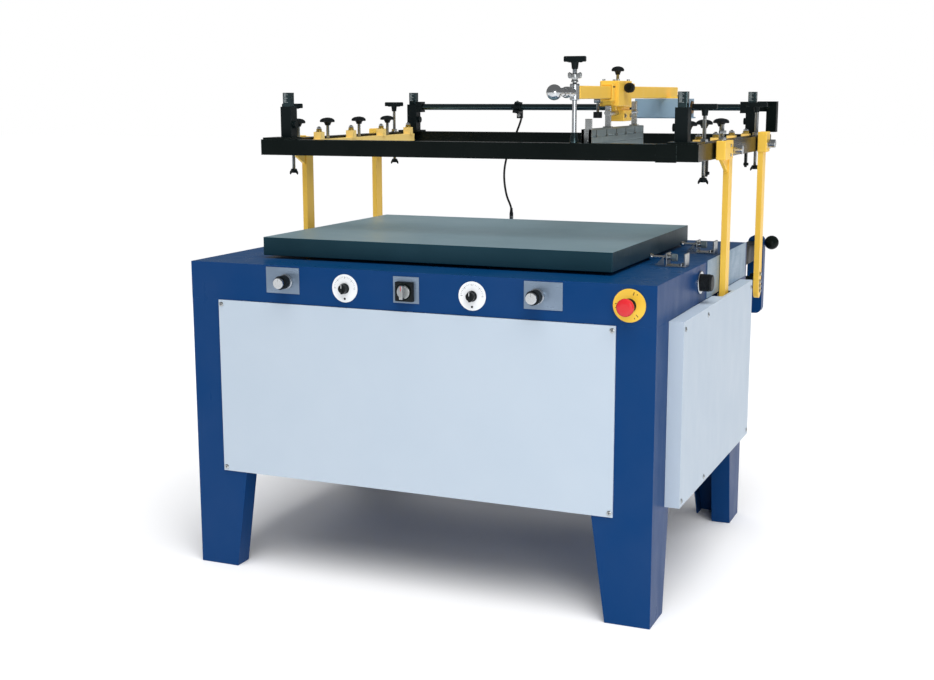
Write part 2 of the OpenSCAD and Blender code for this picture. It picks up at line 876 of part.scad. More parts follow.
// Two flanged bushes that slide on the rail
module rail_bushes() {
    placed() color("#b08d57") for (x = [arm_x - 85, arm_x + 45]) {
        difference() {
            union() {
                bar_x([x, rail_y, rail_z], 40, 30);
                bar_x([x < arm_x ? x - 4 : x + 40, rail_y, rail_z], 4, 38);
            }
            bar_x([x - 10, rail_y, rail_z], 60, rail_d + 2 * run);
        }
    }
}

// Carriage housing that turns on the bushes
module carriage() {
    placed() color("#aab6c4") difference() {
        union() {
            block([arm_x - 85, rail_y - 30, 1146], [arm_x + 85, rail_y + 30, 1202]);
            block([arm_x - 92, rail_y - 26, 1143], [arm_x + 92, rail_y + 26, 1147]);
        }
        bar_x([arm_x - 100, rail_y, rail_z], 200, 30 + 2 * run);
        for (x = [arm_x - 92, arm_x + 85]) {
            bar_x([x - 1, rail_y, rail_z], 9, 40);
        }
    }
}

// Arm tube, closed at the rear, with the ball handle and its neck at the front
module squeegee_arm() {
    middle_z = boom_z + boom_h / 2;
    placed() color("#e8b93c") {
        difference() {
            block([arm_x - boom_w / 2, foot_y + 9, boom_z],
                [arm_x + boom_w / 2, rear_reach, boom_z + boom_h]);
            block([arm_x - boom_w / 2 + wall, 400, boom_z + wall],
                [arm_x + boom_w / 2 - wall, rear_reach - 6, boom_z + boom_h - wall]);
        }
        difference() {
            bar_z([arm_x, foot_y, boom_z - 3], boom_h + 8, 24);
            bar_z([arm_x, foot_y, boom_z - 5], boom_h + 14, 12 + 2 * run);
        }
        bar_y([arm_x, 226, middle_z], foot_y - 234, 22);
        bar_y([arm_x, 262, middle_z], 60, 28);
        translate([arm_x, 214, middle_z]) sphere(d = 38);
        arm_plate(boom_z);
    }
}

// Plate on the carriage that the arm is bolted to, with its two ribs
module arm_plate(z0) {
    for (x = [arm_x - 60, arm_x + 54]) {
        block([x, rail_y - 24, z0 - 1.8], [x + 6, rail_y + 24, z0 + 3]);
    }
    block([arm_x - 60, rail_y - 24, z0 - 1], [arm_x + 60, rail_y + 24, z0 + 4]);
}

// Height screw with its T handle, wing nut and foot, which stands on the front tube
module height_screw() {
    placed() color("#c9cfd4") {
        bar_z([arm_x, foot_y, beam_top + 24], 180, 12);
        translate([arm_x, foot_y, beam_top + 0.2]) cylinder(h = 26, d1 = 22, d2 = 14);
        bar_z([arm_x, foot_y, 1245], 22, 18);
        block([arm_x - 18, foot_y - 4, 1254], [arm_x + 18, foot_y + 4, 1270]);
        translate([arm_x, foot_y, 1294]) t_handle(56, 15);
    }
}

// Sliding head: two jaws round the arm, the neck with the tilt pin's bore, and the knobs
module squeegee_head() {
    top = boom_z + boom_h + slip;
    half = boom_w / 2 + slip;
    placed() color("#e8b93c") {
        difference() {
            union() {
                block([arm_x - 17, jaw_y[0], boom_z - 8], [arm_x + 17, jaw_y[1] + 1, top + 9]);
                block([arm_x - 27, jaw_y[1], boom_z - 20], [arm_x + 27, jaw_y[2], top + 14]);
            }
            block([arm_x - half, jaw_y[0] - 5, boom_z - slip], [arm_x + half, jaw_y[2] + 5, top]);
        }
        difference() {
            block([arm_x - 20, neck_y[0], tilt_z - 23], [arm_x + 20, neck_y[1], boom_z - 8]);
            bar_y([arm_x, neck_y[0] - 5, tilt_z], neck_y[1] - neck_y[0] + 10, 14 + 2 * run);
        }
        head_knobs(top);
    }
}

// Knobs of the head: star knob on top, clamp knob on the right lug, and the stop screw on the left
module head_knobs(top) {
    translate([arm_x, 731, top + 41]) star_knob(36, 11);
    bar_z([arm_x, 731, top + 12], 30, 9);
    block([arm_x + 26, 718, 1222], [arm_x + 50, 727, 1244]);
    bar_y([arm_x + 40, 702, 1233], 17, 26);
    bar_x([arm_x - 38, 648, 1199], 24, 13);
    bar_z([arm_x - 29, 648, 1166], 30, 8);
    bar_z([arm_x - 29, 648, 1153], 17, 24);
}

// Aluminium holder that rocks on its pin, which hangs in two lugs before and behind the head
module squeegee_holder() {
    low = holder_z[0];
    placed() color("#b4bec9") difference() {
        union() {
            block([arm_x - 14, holder_y, low], [arm_x + 14, holder_y + holder_l, holder_z[1]]);
            block([arm_x - 4, holder_y, holder_z[1] - 2], [arm_x + 14, holder_y + 6, 1154]);
            block([arm_x - 8, lug_y[0], holder_z[1] - 2], [arm_x + 8, lug_y[0] + 7, 1186]);
            block([arm_x - 8, lug_y[1], holder_z[1] - 2], [arm_x + 8, lug_y[1] + 7, 1196]);
            bar_y([arm_x, lug_y[0] - 4, tilt_z], lug_y[1] - lug_y[0] + 15, 14);
        }
        block([arm_x - 5, holder_y - 1, low - 1], [arm_x + 5, holder_y + holder_l + 1, blade_top + 0.2]);
    }
}

// Rubber blade clamped in the holder
module squeegee_blade() {
    placed() color("#4a4f3a")
        block([arm_x - 4.8, holder_y + 3, 1064], [arm_x + 4.8, holder_y + holder_l - 3, blade_top]);
}

// ---- Lead ----

// Unit vector of a step along the route, and a ring of points round a route point
function dir(i) = let (a = cable_route[max(i - 1, 0)], b = cable_route[min(i + 1, len(cable_route) - 1)],
    d = b - a) d / norm(d);
function side(t) = let (s = cross(t, [0, 1, 0.2])) s / norm(s);
function ring(i, sides) = let (t = dir(i), u = side(t), v = cross(t, u))
    [for (k = [0:sides - 1]) let (a = 360 * k / sides)
        cable_route[i] + cable_d / 2 * (cos(a) * u + sin(a) * v)];

// The lead as one closed tube of eight sides
module stop_cable() {
    sides = 8;
    n = len(cable_route);
    rings = [for (i = [0:n - 1]) each ring(i, sides)];
    walls = [for (i = [0:n - 2], k = [0:sides - 1])
        [i * sides + k, i * sides + (k + 1) % sides, (i + 1) * sides + (k + 1) % sides, (i + 1) * sides + k]];
    start = [[for (k = [0:sides - 1]) sides - 1 - k]];
    finish = [[for (k = [0:sides - 1]) (n - 1) * sides + k]];
    placed() color("#111111") polyhedron(rings, concat(walls, start, finish));
}

// Round plug on the end of the lead
module stop_plug() {
    placed() color("#1a1a1a") {
        bar_z(cable_route[len(cable_route) - 1] - [0, 0, 36], 36, 13);
        bar_z(cable_route[len(cable_route) - 1] - [0, 0, 42], 8, 9);
    }
}

housing();
leg_front_left();
leg_front_right();
leg_rear_left();
leg_rear_right();
front_panel();
rear_panel();
left_cover();
right_cover();
deck();
side_plates();
panel_screws();
front_bearings();
shaft_bearings();
rear_pillars();
pillar_brackets();
control_plates();
legend_discs();
switch_box();
control_collars();
vacuum_blower();
lift_cylinder();
cylinder_rod();
register_brackets();
table_cradle();
table_top();
speed_knob_left();
speed_knob_right();
dial_knob_left();
dial_knob_right();
switch_handle();
estop_button();
regulator_knob();
ball_knob_left();
ball_knob_right();
rear_arms();
torsion_shaft();
front_arms();
carrier_frame();
corner_sleeves();
post_tubes();
squeegee_rail();
rail_bracket();
pivot_pins();
stroke_stop();
support_straps();
clamp_bar_left();
clamp_bar_right();
clamp_knobs_left();
clamp_knobs_right();
frame_screws();
rail_bushes();
carriage();
squeegee_arm();
height_screw();
squeegee_head();
squeegee_holder();
squeegee_blade();
stop_cable();
stop_plug();
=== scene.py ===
"""Looks of a flatbed screen printing press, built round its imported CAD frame.

Metres, +Z up, origin on the floor under the middle of the footprint, controls at -Y.
CAD nodes whose shape is right keep it and get softened edges; small fittings are rebuilt in detail."""

import json
import math

import bmesh
import bpy
from mathutils import Matrix, Vector


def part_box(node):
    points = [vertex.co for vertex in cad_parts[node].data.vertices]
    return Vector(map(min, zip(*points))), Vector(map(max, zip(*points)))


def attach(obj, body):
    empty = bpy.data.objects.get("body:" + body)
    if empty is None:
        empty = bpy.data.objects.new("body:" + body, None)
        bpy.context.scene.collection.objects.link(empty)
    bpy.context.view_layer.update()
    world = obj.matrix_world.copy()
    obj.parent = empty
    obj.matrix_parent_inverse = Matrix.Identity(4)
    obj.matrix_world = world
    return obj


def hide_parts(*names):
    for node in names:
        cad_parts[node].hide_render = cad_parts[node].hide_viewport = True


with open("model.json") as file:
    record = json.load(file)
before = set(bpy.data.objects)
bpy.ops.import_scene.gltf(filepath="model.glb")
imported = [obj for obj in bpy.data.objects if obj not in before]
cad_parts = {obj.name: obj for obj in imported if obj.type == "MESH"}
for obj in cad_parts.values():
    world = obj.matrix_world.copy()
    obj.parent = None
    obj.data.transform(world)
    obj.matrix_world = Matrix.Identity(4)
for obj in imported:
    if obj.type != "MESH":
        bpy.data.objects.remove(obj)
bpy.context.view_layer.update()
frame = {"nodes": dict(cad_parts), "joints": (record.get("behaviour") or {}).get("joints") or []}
JOINTS = {j["name"]: j for j in frame["joints"]}
PIVOT = {name: Vector(j["pos_m"]) for name, j in JOINTS.items() if j.get("pos_m")}
TAU = 2 * math.pi
SIDES = {"left": -1, "right": 1}
X, Y, Z = Vector((1, 0, 0)), Vector((0, 1, 0)), Vector((0, 0, 1))


# ---- Camera, lights and floor ----


def make_camera():
    """Camera at the photo's view, solved from the straight edges of the base."""
    data = bpy.data.cameras.new("camera")
    data.lens, data.sensor_width = 51.88, 36.0
    camera = bpy.data.objects.new("camera", data)
    camera.location = (1.3788, -3.5119, 1.2156)
    camera.rotation_euler = [math.radians(a) for a in (79.67, 0.13, 23.12)]
    bpy.context.scene.collection.objects.link(camera)
    bpy.context.scene.camera = camera


def lamp(name, kind, place, target, power):
    """Light at a place that shines at a target."""
    data = bpy.data.lights.new(name, kind)
    data.energy = power
    light = bpy.data.objects.new(name, data)
    light.location = place
    light.rotation_euler = (Vector(target) - Vector(place)).to_track_quat("-Z", "Y").to_euler()
    bpy.context.scene.collection.objects.link(light)
    return light


def area_light(name, place, target, size, power, glossy=True):
    light = lamp(name, "AREA", place, target, power)
    light.data.size = size
    light.visible_glossy = glossy
    light.visible_camera = False


def make_studio():
    """Broad overhead light that keeps the floor pale, a key from the front right and three fills.

    The pale background is for the camera only: the machine itself sees a dim surrounding."""
    scene = bpy.context.scene
    scene.view_settings.view_transform = "Standard"
    world = bpy.data.worlds.new("studio")
    world.use_nodes = True
    nodes, links = world.node_tree.nodes, world.node_tree.links
    background = nodes["Background"]
    path, choose = nodes.new("ShaderNodeLightPath"), nodes.new("ShaderNodeMapRange")
    choose.inputs["To Min"].default_value = 0.2
    choose.inputs["To Max"].default_value = 1.0
    links.new(path.outputs["Is Camera Ray"], choose.inputs["Value"])
    links.new(choose.outputs["Result"], background.inputs["Strength"])
    background.inputs["Color"].default_value = (1.0, 1.0, 1.0, 1)
    scene.world = world
    overhead = lamp("overhead", "SUN", (1.0, -1.5, 3.6), (0, 0, 0), 2.9)
    overhead.data.angle = math.radians(55)
    overhead.visible_glossy = False
    area_light("key", (1.7, -2.6, 1.3), (0.3, -0.6, 0.6), 1.0, 15)
    area_light("fill", (-3.0, -2.6, 1.8), (0, 0, 0.6), 2.2, 3, False)
    area_light("rim", (2.8, 2.6, 1.6), (0.5, 0, 0.8), 1.6, 12, False)
    area_light("back", (-2.2, 3.2, 2.2), (0, 0, 0.7), 2.0, 26, False)


def make_floor():
    half_width = 30
    bm = bmesh.new()
    bmesh.ops.create_grid(bm, x_segments=1, y_segments=1, size=half_width)
    mesh = bpy.data.meshes.new("floor")
    bm.to_mesh(mesh)
    floor = bpy.data.objects.new("floor", mesh)
    floor.location.z = -0.0005
    floor.data.materials.append(coated("floor_paint", "#fdfdfe", rough=0.9, peel=0.0, edge=None, shine=0.0))
    bpy.context.scene.collection.objects.link(floor)


# ---- Materials ----


def linear(text):
    """Linear colour of a hexadecimal screen colour."""
    parts = [int(text[i : i + 2], 16) / 255 for i in (1, 3, 5)]
    return tuple(c / 12.92 if c <= 0.04045 else ((c + 0.055) / 1.055) ** 2.4 for c in parts)


class Tree:
    """Node tree of a new material, with short calls to add nodes and join them."""

    def __init__(self, name):
        self.material = bpy.data.materials.new(name)
        self.material.use_nodes = True
        self.nodes = self.material.node_tree.nodes
        self.shader = self.nodes["Principled BSDF"]
        self.place = self.nodes.new("ShaderNodeTexCoord").outputs["Object"]

    def join(self, start, end):
        self.material.node_tree.links.new(start, end)

    def colour(self, value):
        self.join(value, self.shader.inputs["Base Color"])

    def rough(self, value):
        self.join(value, self.shader.inputs["Roughness"])

    def normal(self, value):
        self.join(value, self.shader.inputs["Normal"])

    def set(self, **values):
        for name, value in values.items():
            socket = self.shader.inputs[name.replace("_", " ")]
            socket.default_value = (*value, 1) if isinstance(value, tuple) else value

    def noise(self, scale, detail=2.0, stretch=(1, 1, 1)):
        """Noise from 0 to 1; stretch multiplies the scale along X, Y and Z."""
        spread = self.nodes.new("ShaderNodeMapping")
        spread.inputs["Scale"].default_value = stretch
        self.join(self.place, spread.inputs["Vector"])
        texture = self.nodes.new("ShaderNodeTexNoise")
        texture.inputs["Scale"].default_value = scale
        texture.inputs["Detail"].default_value = detail
        self.join(spread.outputs["Vector"], texture.inputs["Vector"])
        return texture.outputs["Fac"]

    def ramp(self, value, start, end, low=0.0, high=1.0):
        """Maps value from start..end to low..high, held at both ends."""
        node = self.nodes.new("ShaderNodeMapRange")
        for name, number in zip(("From Min", "From Max", "To Min", "To Max"), (start, end, low, high)):
            node.inputs[name].default_value = number
        self.join(value, node.inputs["Value"])
        return node.outputs["Result"]

    def math(self, operation, first, second):
        node = self.nodes.new("ShaderNodeMath")
        node.operation = operation
        for socket, value in zip(node.inputs, (first, second)):
            if isinstance(value, (int, float)):
                socket.default_value = value
            else:
                self.join(value, socket)
        return node.outputs["Value"]

    def mix(self, share, first, second):
        """Colour between two colours or colour sockets."""
        node = self.nodes.new("ShaderNodeMix")
        node.data_type = "RGBA"
        self.join(share, node.inputs["Factor"])
        for name, value in (("A", first), ("B", second)):
            socket = next(s for s in node.inputs if s.name == name and s.type == "RGBA")
            if isinstance(value, tuple):
                socket.default_value = (*value, 1)
            else:
                self.join(value, socket)
        return next(s for s in node.outputs if s.type == "RGBA")

    def edges(self, radius, scale):
        """Edge mask for rubbed finish and painted edge highlights: 1 on sharp edges where the noise lets it
        through, 0 on flats.
        """
        bevel = self.nodes.new("ShaderNodeBevel")
        bevel.samples = 4
        bevel.inputs["Radius"].default_value = radius
        geometry = self.nodes.new("ShaderNodeNewGeometry")
        dot = self.nodes.new("ShaderNodeVectorMath")
        dot.operation = "DOT_PRODUCT"
        self.join(bevel.outputs["Normal"], dot.inputs[0])
        self.join(geometry.outputs["Normal"], dot.inputs[1])
        sharp = self.ramp(dot.outputs["Value"], 0.985, 0.9)
        return self.math("MULTIPLY", sharp, self.ramp(self.noise(scale, 4.0), 0.45, 0.62))

    def bump(self, height, distance, strength=1.0, under=None):
        node = self.nodes.new("ShaderNodeBump")
        node.inputs["Distance"].default_value = distance
        node.inputs["Strength"].default_value = strength
        self.join(height, node.inputs["Height"])
        if under is not None:
            self.join(under, node.inputs["Normal"])
        return node.outputs["Normal"]

    def upward(self):
        """1 on faces that look up, 0 on walls and undersides."""
        split = self.nodes.new("ShaderNodeSeparateXYZ")
        texture = self.nodes.new("ShaderNodeTexCoord")
        self.join(texture.outputs["Normal"], split.inputs["Vector"])
        return self.ramp(split.outputs["Z"], 0.4, 0.8)


def coated(name, colour, rough=0.4, peel=0.35, coat=0.0, edge="#ffffff", wear_and_highlight=0.5, dust=0.03, shine=0.3):
    """Powder coat, paint or moulded plastic: orange peel, faint clouding, and edges mixed toward an edge
    colour: rubbed finish, and a painted highlight where that colour is lighter than the face.
    """
    tree = Tree(name)
    base = linear(colour)
    pale = tuple(c + (1 - c) * dust for c in base)
    cloud = tree.ramp(tree.noise(7.0, 3.0), 0.35, 0.75)
    shade = tree.mix(cloud, base, pale)
    if edge:
        # Edges pulled toward the edge colour: rubbed finish, and a painted highlight where the edge colour
        # is lighter than the face.
        worn_and_highlit = tree.math("MULTIPLY", tree.edges(0.0012, 160.0), wear_and_highlight)
        shade = tree.mix(worn_and_highlit, shade, linear(edge))
    tree.colour(shade)
    smear = tree.noise(24.0, 5.0, (1, 1, 0.35))
    tree.rough(tree.ramp(smear, 0.3, 0.7, rough * 0.85, min(1.0, rough * 1.2)))
    if peel:
        grain = tree.bump(tree.noise(900.0, 2.0), 0.00012, peel)
        tree.normal(tree.bump(tree.noise(160.0, 1.0), 0.00025, peel * 0.6, grain))
    tree.set(Coat_Weight=coat, Coat_Roughness=0.06, Specular_IOR_Level=shine)
    return tree.material


def metal(name, colour, rough=0.28, grain=(1, 1, 1), scale=220.0, tint=0.12, bump=0.25, metallic=1.0):
    """Ground, turned or cast metal: grain runs along the axis with the smallest stretch."""
    tree = Tree(name)
    base = linear(colour)
    dark = tuple(c * (1 - tint) for c in base)
    lines = tree.noise(scale, 3.0, grain)
    stain = tree.ramp(tree.noise(18.0, 4.0), 0.3, 0.7)
    tree.colour(tree.mix(stain, base, dark))
    mixed = tree.math("ADD", tree.math("MULTIPLY", lines, 0.6), tree.math("MULTIPLY", stain, 0.4))
    tree.rough(tree.ramp(mixed, 0.3, 0.7, rough * 0.75, rough * 1.3))
    tree.normal(tree.bump(lines, 0.00006, bump))
    tree.set(Metallic=metallic)
    return tree.material


def table_skin():
    """Ground steel top with fine grinding lines; walls and undersides take the dark rim colour, which is
    partly the rim's own dark edging and partly painted shade.
    """
    tree = Tree("table_skin")
    lines = tree.noise(90.0, 4.0, (0.06, 4, 1))
    cloud = tree.ramp(tree.noise(3.2, 4.0), 0.3, 0.75)
    top = tree.mix(cloud, linear("#9ab8c4"), linear("#88a6b1"))
    rim = tree.mix(cloud, linear("#1d4250"), linear("#163843"))
    # Split by the way each face looks: the darker walls are partly dark edging, partly painted shade.
    tree.colour(tree.mix(tree.upward(), rim, top))
    wiped = tree.math("ADD", tree.math("MULTIPLY", lines, 0.5), tree.math("MULTIPLY", cloud, 0.5))
    tree.rough(tree.ramp(wiped, 0.25, 0.75, 0.3, 0.46))
    tree.normal(tree.bump(lines, 0.00004, 0.3))
    tree.set(Metallic=0.45, Specular_IOR_Level=0.3)
    return tree.material


def rubber(name, colour, rough=0.6):
    """Matt rubber with darker streaks and a fine grain."""
    tree = Tree(name)
    base = linear(colour)
    streak = tree.ramp(tree.noise(40.0, 4.0), 0.3, 0.7)
    tree.colour(tree.mix(streak, base, tuple(c * 0.75 for c in base)))
    tree.rough(tree.ramp(streak, 0, 1, rough * 0.85, rough * 1.1))
    tree.normal(tree.bump(tree.noise(700.0, 2.0), 0.0001, 0.4))
    return tree.material


# Each finish's edge colour goes along its rubbed edges; where it is lighter than the face it is also a
# painted highlight.
MAT = {
    "blue": coated(
        "blue_coat", "#0a3b70", rough=0.32, peel=0.4, edge="#4f7db4", wear_and_highlight=0.35, dust=0.006, shine=0.08
    ),
    "pale": coated("pale_coat", "#bac8d6", rough=0.45, peel=0.25, edge="#f4f6fa", wear_and_highlight=0.4),
    "deck": coated(
        "deck_coat", "#09406f", rough=0.3, peel=0.3, edge="#6f93b6", wear_and_highlight=0.4, dust=0.006, shine=0.05
    ),
    "plate": metal("grey_plate", "#8aa3b8", rough=0.4, grain=(3, 0.08, 3), metallic=0.3),
    "dark_plate": metal("dark_plate", "#8496ab", rough=0.36, grain=(0.08, 3, 3), metallic=0.5),
    "gloss_black": coated(
        "gloss_black", "#07100f", rough=0.2, peel=0.2, edge="#5c6c6b", wear_and_highlight=0.55, dust=0.003, shine=0.1
    ),
    "satin_black": coated(
        "satin_black", "#0b1517", rough=0.38, peel=0.45, edge="#56605f", wear_and_highlight=0.6, dust=0.004, shine=0.12
    ),
    "iron": coated("cast_iron", "#12181b", rough=0.5, peel=1.0, edge="#4b5254", wear_and_highlight=0.6, dust=0.02),
    "plastic": coated(
        "black_plastic", "#101518", rough=0.42, peel=0.6, edge="#3d4347", wear_and_highlight=0.35, dust=0.006, shine=0.2
    ),
    "yellow": coated("yellow_coat", "#ffcf50", rough=0.36, peel=0.4, edge="#b08a3e", wear_and_highlight=0.35, dust=0.02),
    "legend": coated("white_legend", "#eef1f4", rough=0.32, peel=0.0, edge=None, dust=0.02),
    "stop_disc": coated("yellow_disc", "#f0c33c", rough=0.35, peel=0.0, edge=None),
    "red": coated("red_button", "#d3262e", rough=0.25, peel=0.15, coat=0.3, edge=None, dust=0.01),
    # Black for printed marks, and also the painted shade of a gap, slots and screw recesses.
    "print_and_painted_shade": coated("black_print_and_painted_shade", "#16181a", rough=0.6, peel=0.0, edge=None),
    "white_print": coated("white_print", "#c9d2d3", rough=0.6, peel=0.0, edge=None),
    "steel": metal("bright_steel", "#c9ced2", rough=0.24, grain=(1, 1, 1)),
    "turned": metal("turned_steel", "#d3d7da", rough=0.17, scale=500.0),
    "zinc": metal("zinc_plate", "#bfc3c4", rough=0.3, scale=90.0, tint=0.2),
    "dark_steel": metal("dark_steel", "#44565a", rough=0.24, grain=(0.05, 3, 3)),
    "alloy": metal("anodised_alloy", "#94a6ad", rough=0.4, grain=(3, 0.06, 3), metallic=0.75),
    "cream": coated("cream_coat", "#ffdd84", rough=0.38, peel=0.4, edge="#b08a3e", wear_and_highlight=0.35, dust=0.02),
    "carriage": coated("carriage_coat", "#8dabc2", rough=0.42, peel=0.3, edge="#c2cfd9", wear_and_highlight=0.5),
    "cast_alloy": metal("cast_alloy", "#a6adb3", rough=0.48, scale=420.0, bump=0.8),
    "brass": metal("brass", "#c9ab57", rough=0.27, scale=150.0),
    "bronze": metal("bronze", "#a67c48", rough=0.3, scale=300.0),
    "table": table_skin(),
    "blade": rubber("blade_rubber", "#34382c", rough=0.42),
    "cable": rubber("cable_rubber", "#111314", rough=0.5),
}


# ---- Shapes ----


def settle(mesh, angle=32.0):
    """Smooth faces with sharp edges above an angle."""
    mesh.polygons.foreach_set("use_smooth", [True] * len(mesh.polygons))
    mesh.set_sharp_from_angle(angle=math.radians(angle))


def soft_edges(piece):
    """Shading that follows the large faces across rounded edges."""
    modifier = piece.modifiers.new("normals", "WEIGHTED_NORMAL")
    modifier.keep_sharp = True


def frame_of(axis):
    """Two directions square to an axis, so that (u, v, axis) is right-handed."""
    u = Y.copy() if abs(axis.x) > 0.9 else X.copy()
    u = (u - axis * u.dot(axis)).normalized()
    return u, axis.cross(u)


def rounded(points, radius, steps=3, closed=False):
    """Polyline with its corners turned into short arcs."""
    pts = [Vector(p) for p in points]
    made, n = [], len(pts)
    for i, p in enumerate(pts):
        if not closed and i in (0, n - 1):
            made.append(p)
            continue
        a, b = pts[i - 1] - p, pts[(i + 1) % n] - p
        r = min(radius, a.length * 0.45, b.length * 0.45)
        if r < 1e-6 or abs(a.normalized().cross(b.normalized())) < 0.05:
            made.append(p)
            continue
        start, end = p + a.normalized() * r, p + b.normalized() * r
        for k in range(steps + 1):
            t = k / steps
            made.append(start * (1 - t) ** 2 + p * 2 * t * (1 - t) + end * t * t)
    return made


def bevel_edges(bm, edges, width, steps):
    bmesh.ops.bevel(bm, geom=edges, offset=width, segments=steps, profile=0.5, affect="EDGES")


class Piece:
    """One object made of many simple shapes, each with its own material."""

    def __init__(self, name):
        self.name, self.bm, self.used = name, bmesh.new(), []

    def take(self, bm, material):
        """Adds a finished shape in one material."""
        if material not in self.used:
            self.used.append(material)
        for face in bm.faces:
            face.material_index = self.used.index(material)
        bmesh.ops.recalc_face_normals(bm, faces=bm.faces[:])
        mesh = bpy.data.meshes.new("part")
        bm.to_mesh(mesh)
        self.bm.from_mesh(mesh)
        bpy.data.meshes.remove(mesh)
        bm.free()

    def box(self, a, b, material, edge=0.0008, steps=2, turn=None):
        """Box between two corners; turn is (angle, axis, point)."""
        a, b = Vector(a), Vector(b)
        bm = bmesh.new()
        bmesh.ops.create_cube(bm, size=1)
        size = Vector([abs(b[i] - a[i]) for i in range(3)])
        for v in bm.verts:
            v.co = (a + b) / 2 + Vector([v.co[i] * size[i] for i in range(3)])
        if edge:
            width = min(edge, min(size) * 0.45)
            bevel_edges(bm, bm.edges[:], width, steps)
        if turn:
            angle, axis, point = turn
            bmesh.ops.rotate(bm, verts=bm.verts[:], cent=point, matrix=Matrix.Rotation(angle, 3, axis))
        self.take(bm, material)

    def across(self, centre, half, y_span, z_span, material, edge, steps=2, turn=None):
        """Box from half to either side of a point in X, over spans of Y and Z from that point."""
        a, b = Vector((-half, y_span[0], z_span[0])), Vector((half, y_span[1], z_span[1]))
        self.box(Vector(centre) + a, Vector(centre) + b, material, edge, steps, turn)

    def lathe(self, start, axis, profile, material, n=40, edge=0.0006):
        """Turned shape: profile is (radius, distance along the axis); off the axis it closes to a ring."""
        axis = Vector(axis).normalized()
        u, v = frame_of(axis)
        bm = bmesh.new()
        rings = []
        for r, h in rounded(profile, edge, 3):
            middle_point = Vector(start) + axis * h
            angles = [TAU * k / n for k in range(n)] if r > 1e-6 else [0.0]
            spokes = [(u * math.cos(a) + v * math.sin(a)) * r for a in angles]
            rings.append([bm.verts.new(middle_point + spoke) for spoke in spokes])
        self.skin(bm, rings, profile[0][0] > 0)
        self.take(bm, material)

    def skin(self, bm, rings, bored=False):
        """Faces between rings of vertices: a ring of one vertex is a tip, and a bored shape has no ends."""
        for a, b in zip(rings, rings[1:] + (rings[:1] if bored else [])):
            n = max(len(a), len(b))
            for k in range(n):
                corners = [a[k % len(a)], a[(k + 1) % len(a)], b[(k + 1) % len(b)], b[k % len(b)]]
                corners = [c for i, c in enumerate(corners) if c not in corners[:i]]
                if len(corners) > 2:
                    bm.faces.new(corners)
        for ring in (rings[0], rings[-1]):
            if len(ring) > 2 and not bored:
                bm.faces.new(ring)

    def solid(self, start, axis, outline, material, n=40, edge=0.0006):
        """Turned shape without a bore: the outline is closed to the axis at both ends."""
        profile = [(0, outline[0][1]), *outline, (0, outline[-1][1])]
        self.lathe(start, axis, profile, material, n, edge)

    def rod(self, start, axis, length, d, material, n=32, edge=0.0008):
        """Plain round bar or disc of a diameter d."""
        self.solid(start, axis, [(d / 2, 0), (d / 2, length)], material, n, edge)

    def threaded(self, start, axis, length, d, material, pitch=0.00175, n=20):
        """Round bar with a row of ridges for its thread."""
        turns = int(length / pitch)
        profile = [(0, 0)]
        for i in range(turns):
            profile += [(d / 2 * 0.88, i * pitch), (d / 2, (i + 0.5) * pitch)]
        profile += [(d / 2 * 0.88, turns * pitch), (0, turns * pitch)]
        self.lathe(start, axis, profile, material, n, 0)

    def prism(self, outline, start, axis, depth, material, edge=0.0008, up=None, steps=2):
        """Outline of (a, b) points pushed along an axis; up is the direction of b."""
        axis = Vector(axis).normalized()
        v = Vector(up) if up is not None else frame_of(axis)[1]
        u = v.cross(axis)
        bm = bmesh.new()
        low = [bm.verts.new(Vector(start) + u * p[0] + v * p[1]) for p in outline]
        high = [bm.verts.new(w.co + axis * depth) for w in low]
        self.skin(bm, [low, high])
        if edge:
            caps = [e for e in bm.edges if any(len(f.verts) == len(outline) for f in e.link_faces)]
            width = min(edge, abs(depth) * 0.4)
            bevel_edges(bm, caps, width, steps)
        self.take(bm, material)

    def nut(self, start, axis, flats, height, material):
        """Hexagon; flats is its width across them."""
        r = flats / math.sqrt(3)
        outline = [(r * math.cos(TAU * k / 6), r * math.sin(TAU * k / 6)) for k in range(6)]
        self.prism(outline, start, axis, height, material, edge=flats * 0.05)

    def lobed(self, start, axis, levels, material):
        """Star knob: levels are (distance along the axis, radius, depth of the hollows)."""
        lobes, n, spin = 5, 60, 0.3
        axis = Vector(axis).normalized()
        u, v = frame_of(axis)
        bm = bmesh.new()
        rings = []
        for h, r, hollow in levels:
            ring = []
            for k in range(n):
                a = TAU * k / n + spin
                reach = r * (1 - hollow * (0.5 - 0.5 * math.cos(lobes * a)))
                spoke = (u * math.cos(a) + v * math.sin(a)) * reach
                ring.append(bm.verts.new(Vector(start) + axis * h + spoke))
            rings.append(ring)
        self.skin(bm, rings)
        self.take(bm, material)

    def ball(self, centre, radius, material, axis=Z):
        """Ball with its poles on the axis."""
        bm = bmesh.new()
        bmesh.ops.create_uvsphere(bm, u_segments=40, v_segments=24, radius=radius)
        turn = Vector(axis).to_track_quat("Z", "Y").to_matrix()
        for v in bm.verts:
            v.co = turn @ v.co + Vector(centre)
        self.take(bm, material)

    def knurled(self, start, axis, depth, d, material, teeth=40, bite=0.0007, edge=0.0012):
        """Round grip with straight ridges."""
        outline = []
        for k in range(teeth):
            for share, r in ((0.0, d / 2), (0.35, d / 2), (0.5, d / 2 - bite), (0.85, d / 2 - bite)):
                a = TAU * (k + share) / teeth
                outline.append((r * math.cos(a), r * math.sin(a)))
        self.prism(outline, start, axis, depth, material, edge)

    def socket_screw(self, place, axis, d, height, material="steel"):
        """Cap screw with a hexagon recess, its head standing out along the axis."""
        axis = Vector(axis)
        head = [(0, -0.0004), (d / 2, -0.0004), (d / 2, height), (d * 0.29, height)]
        self.lathe(place, axis, head, material, 28)
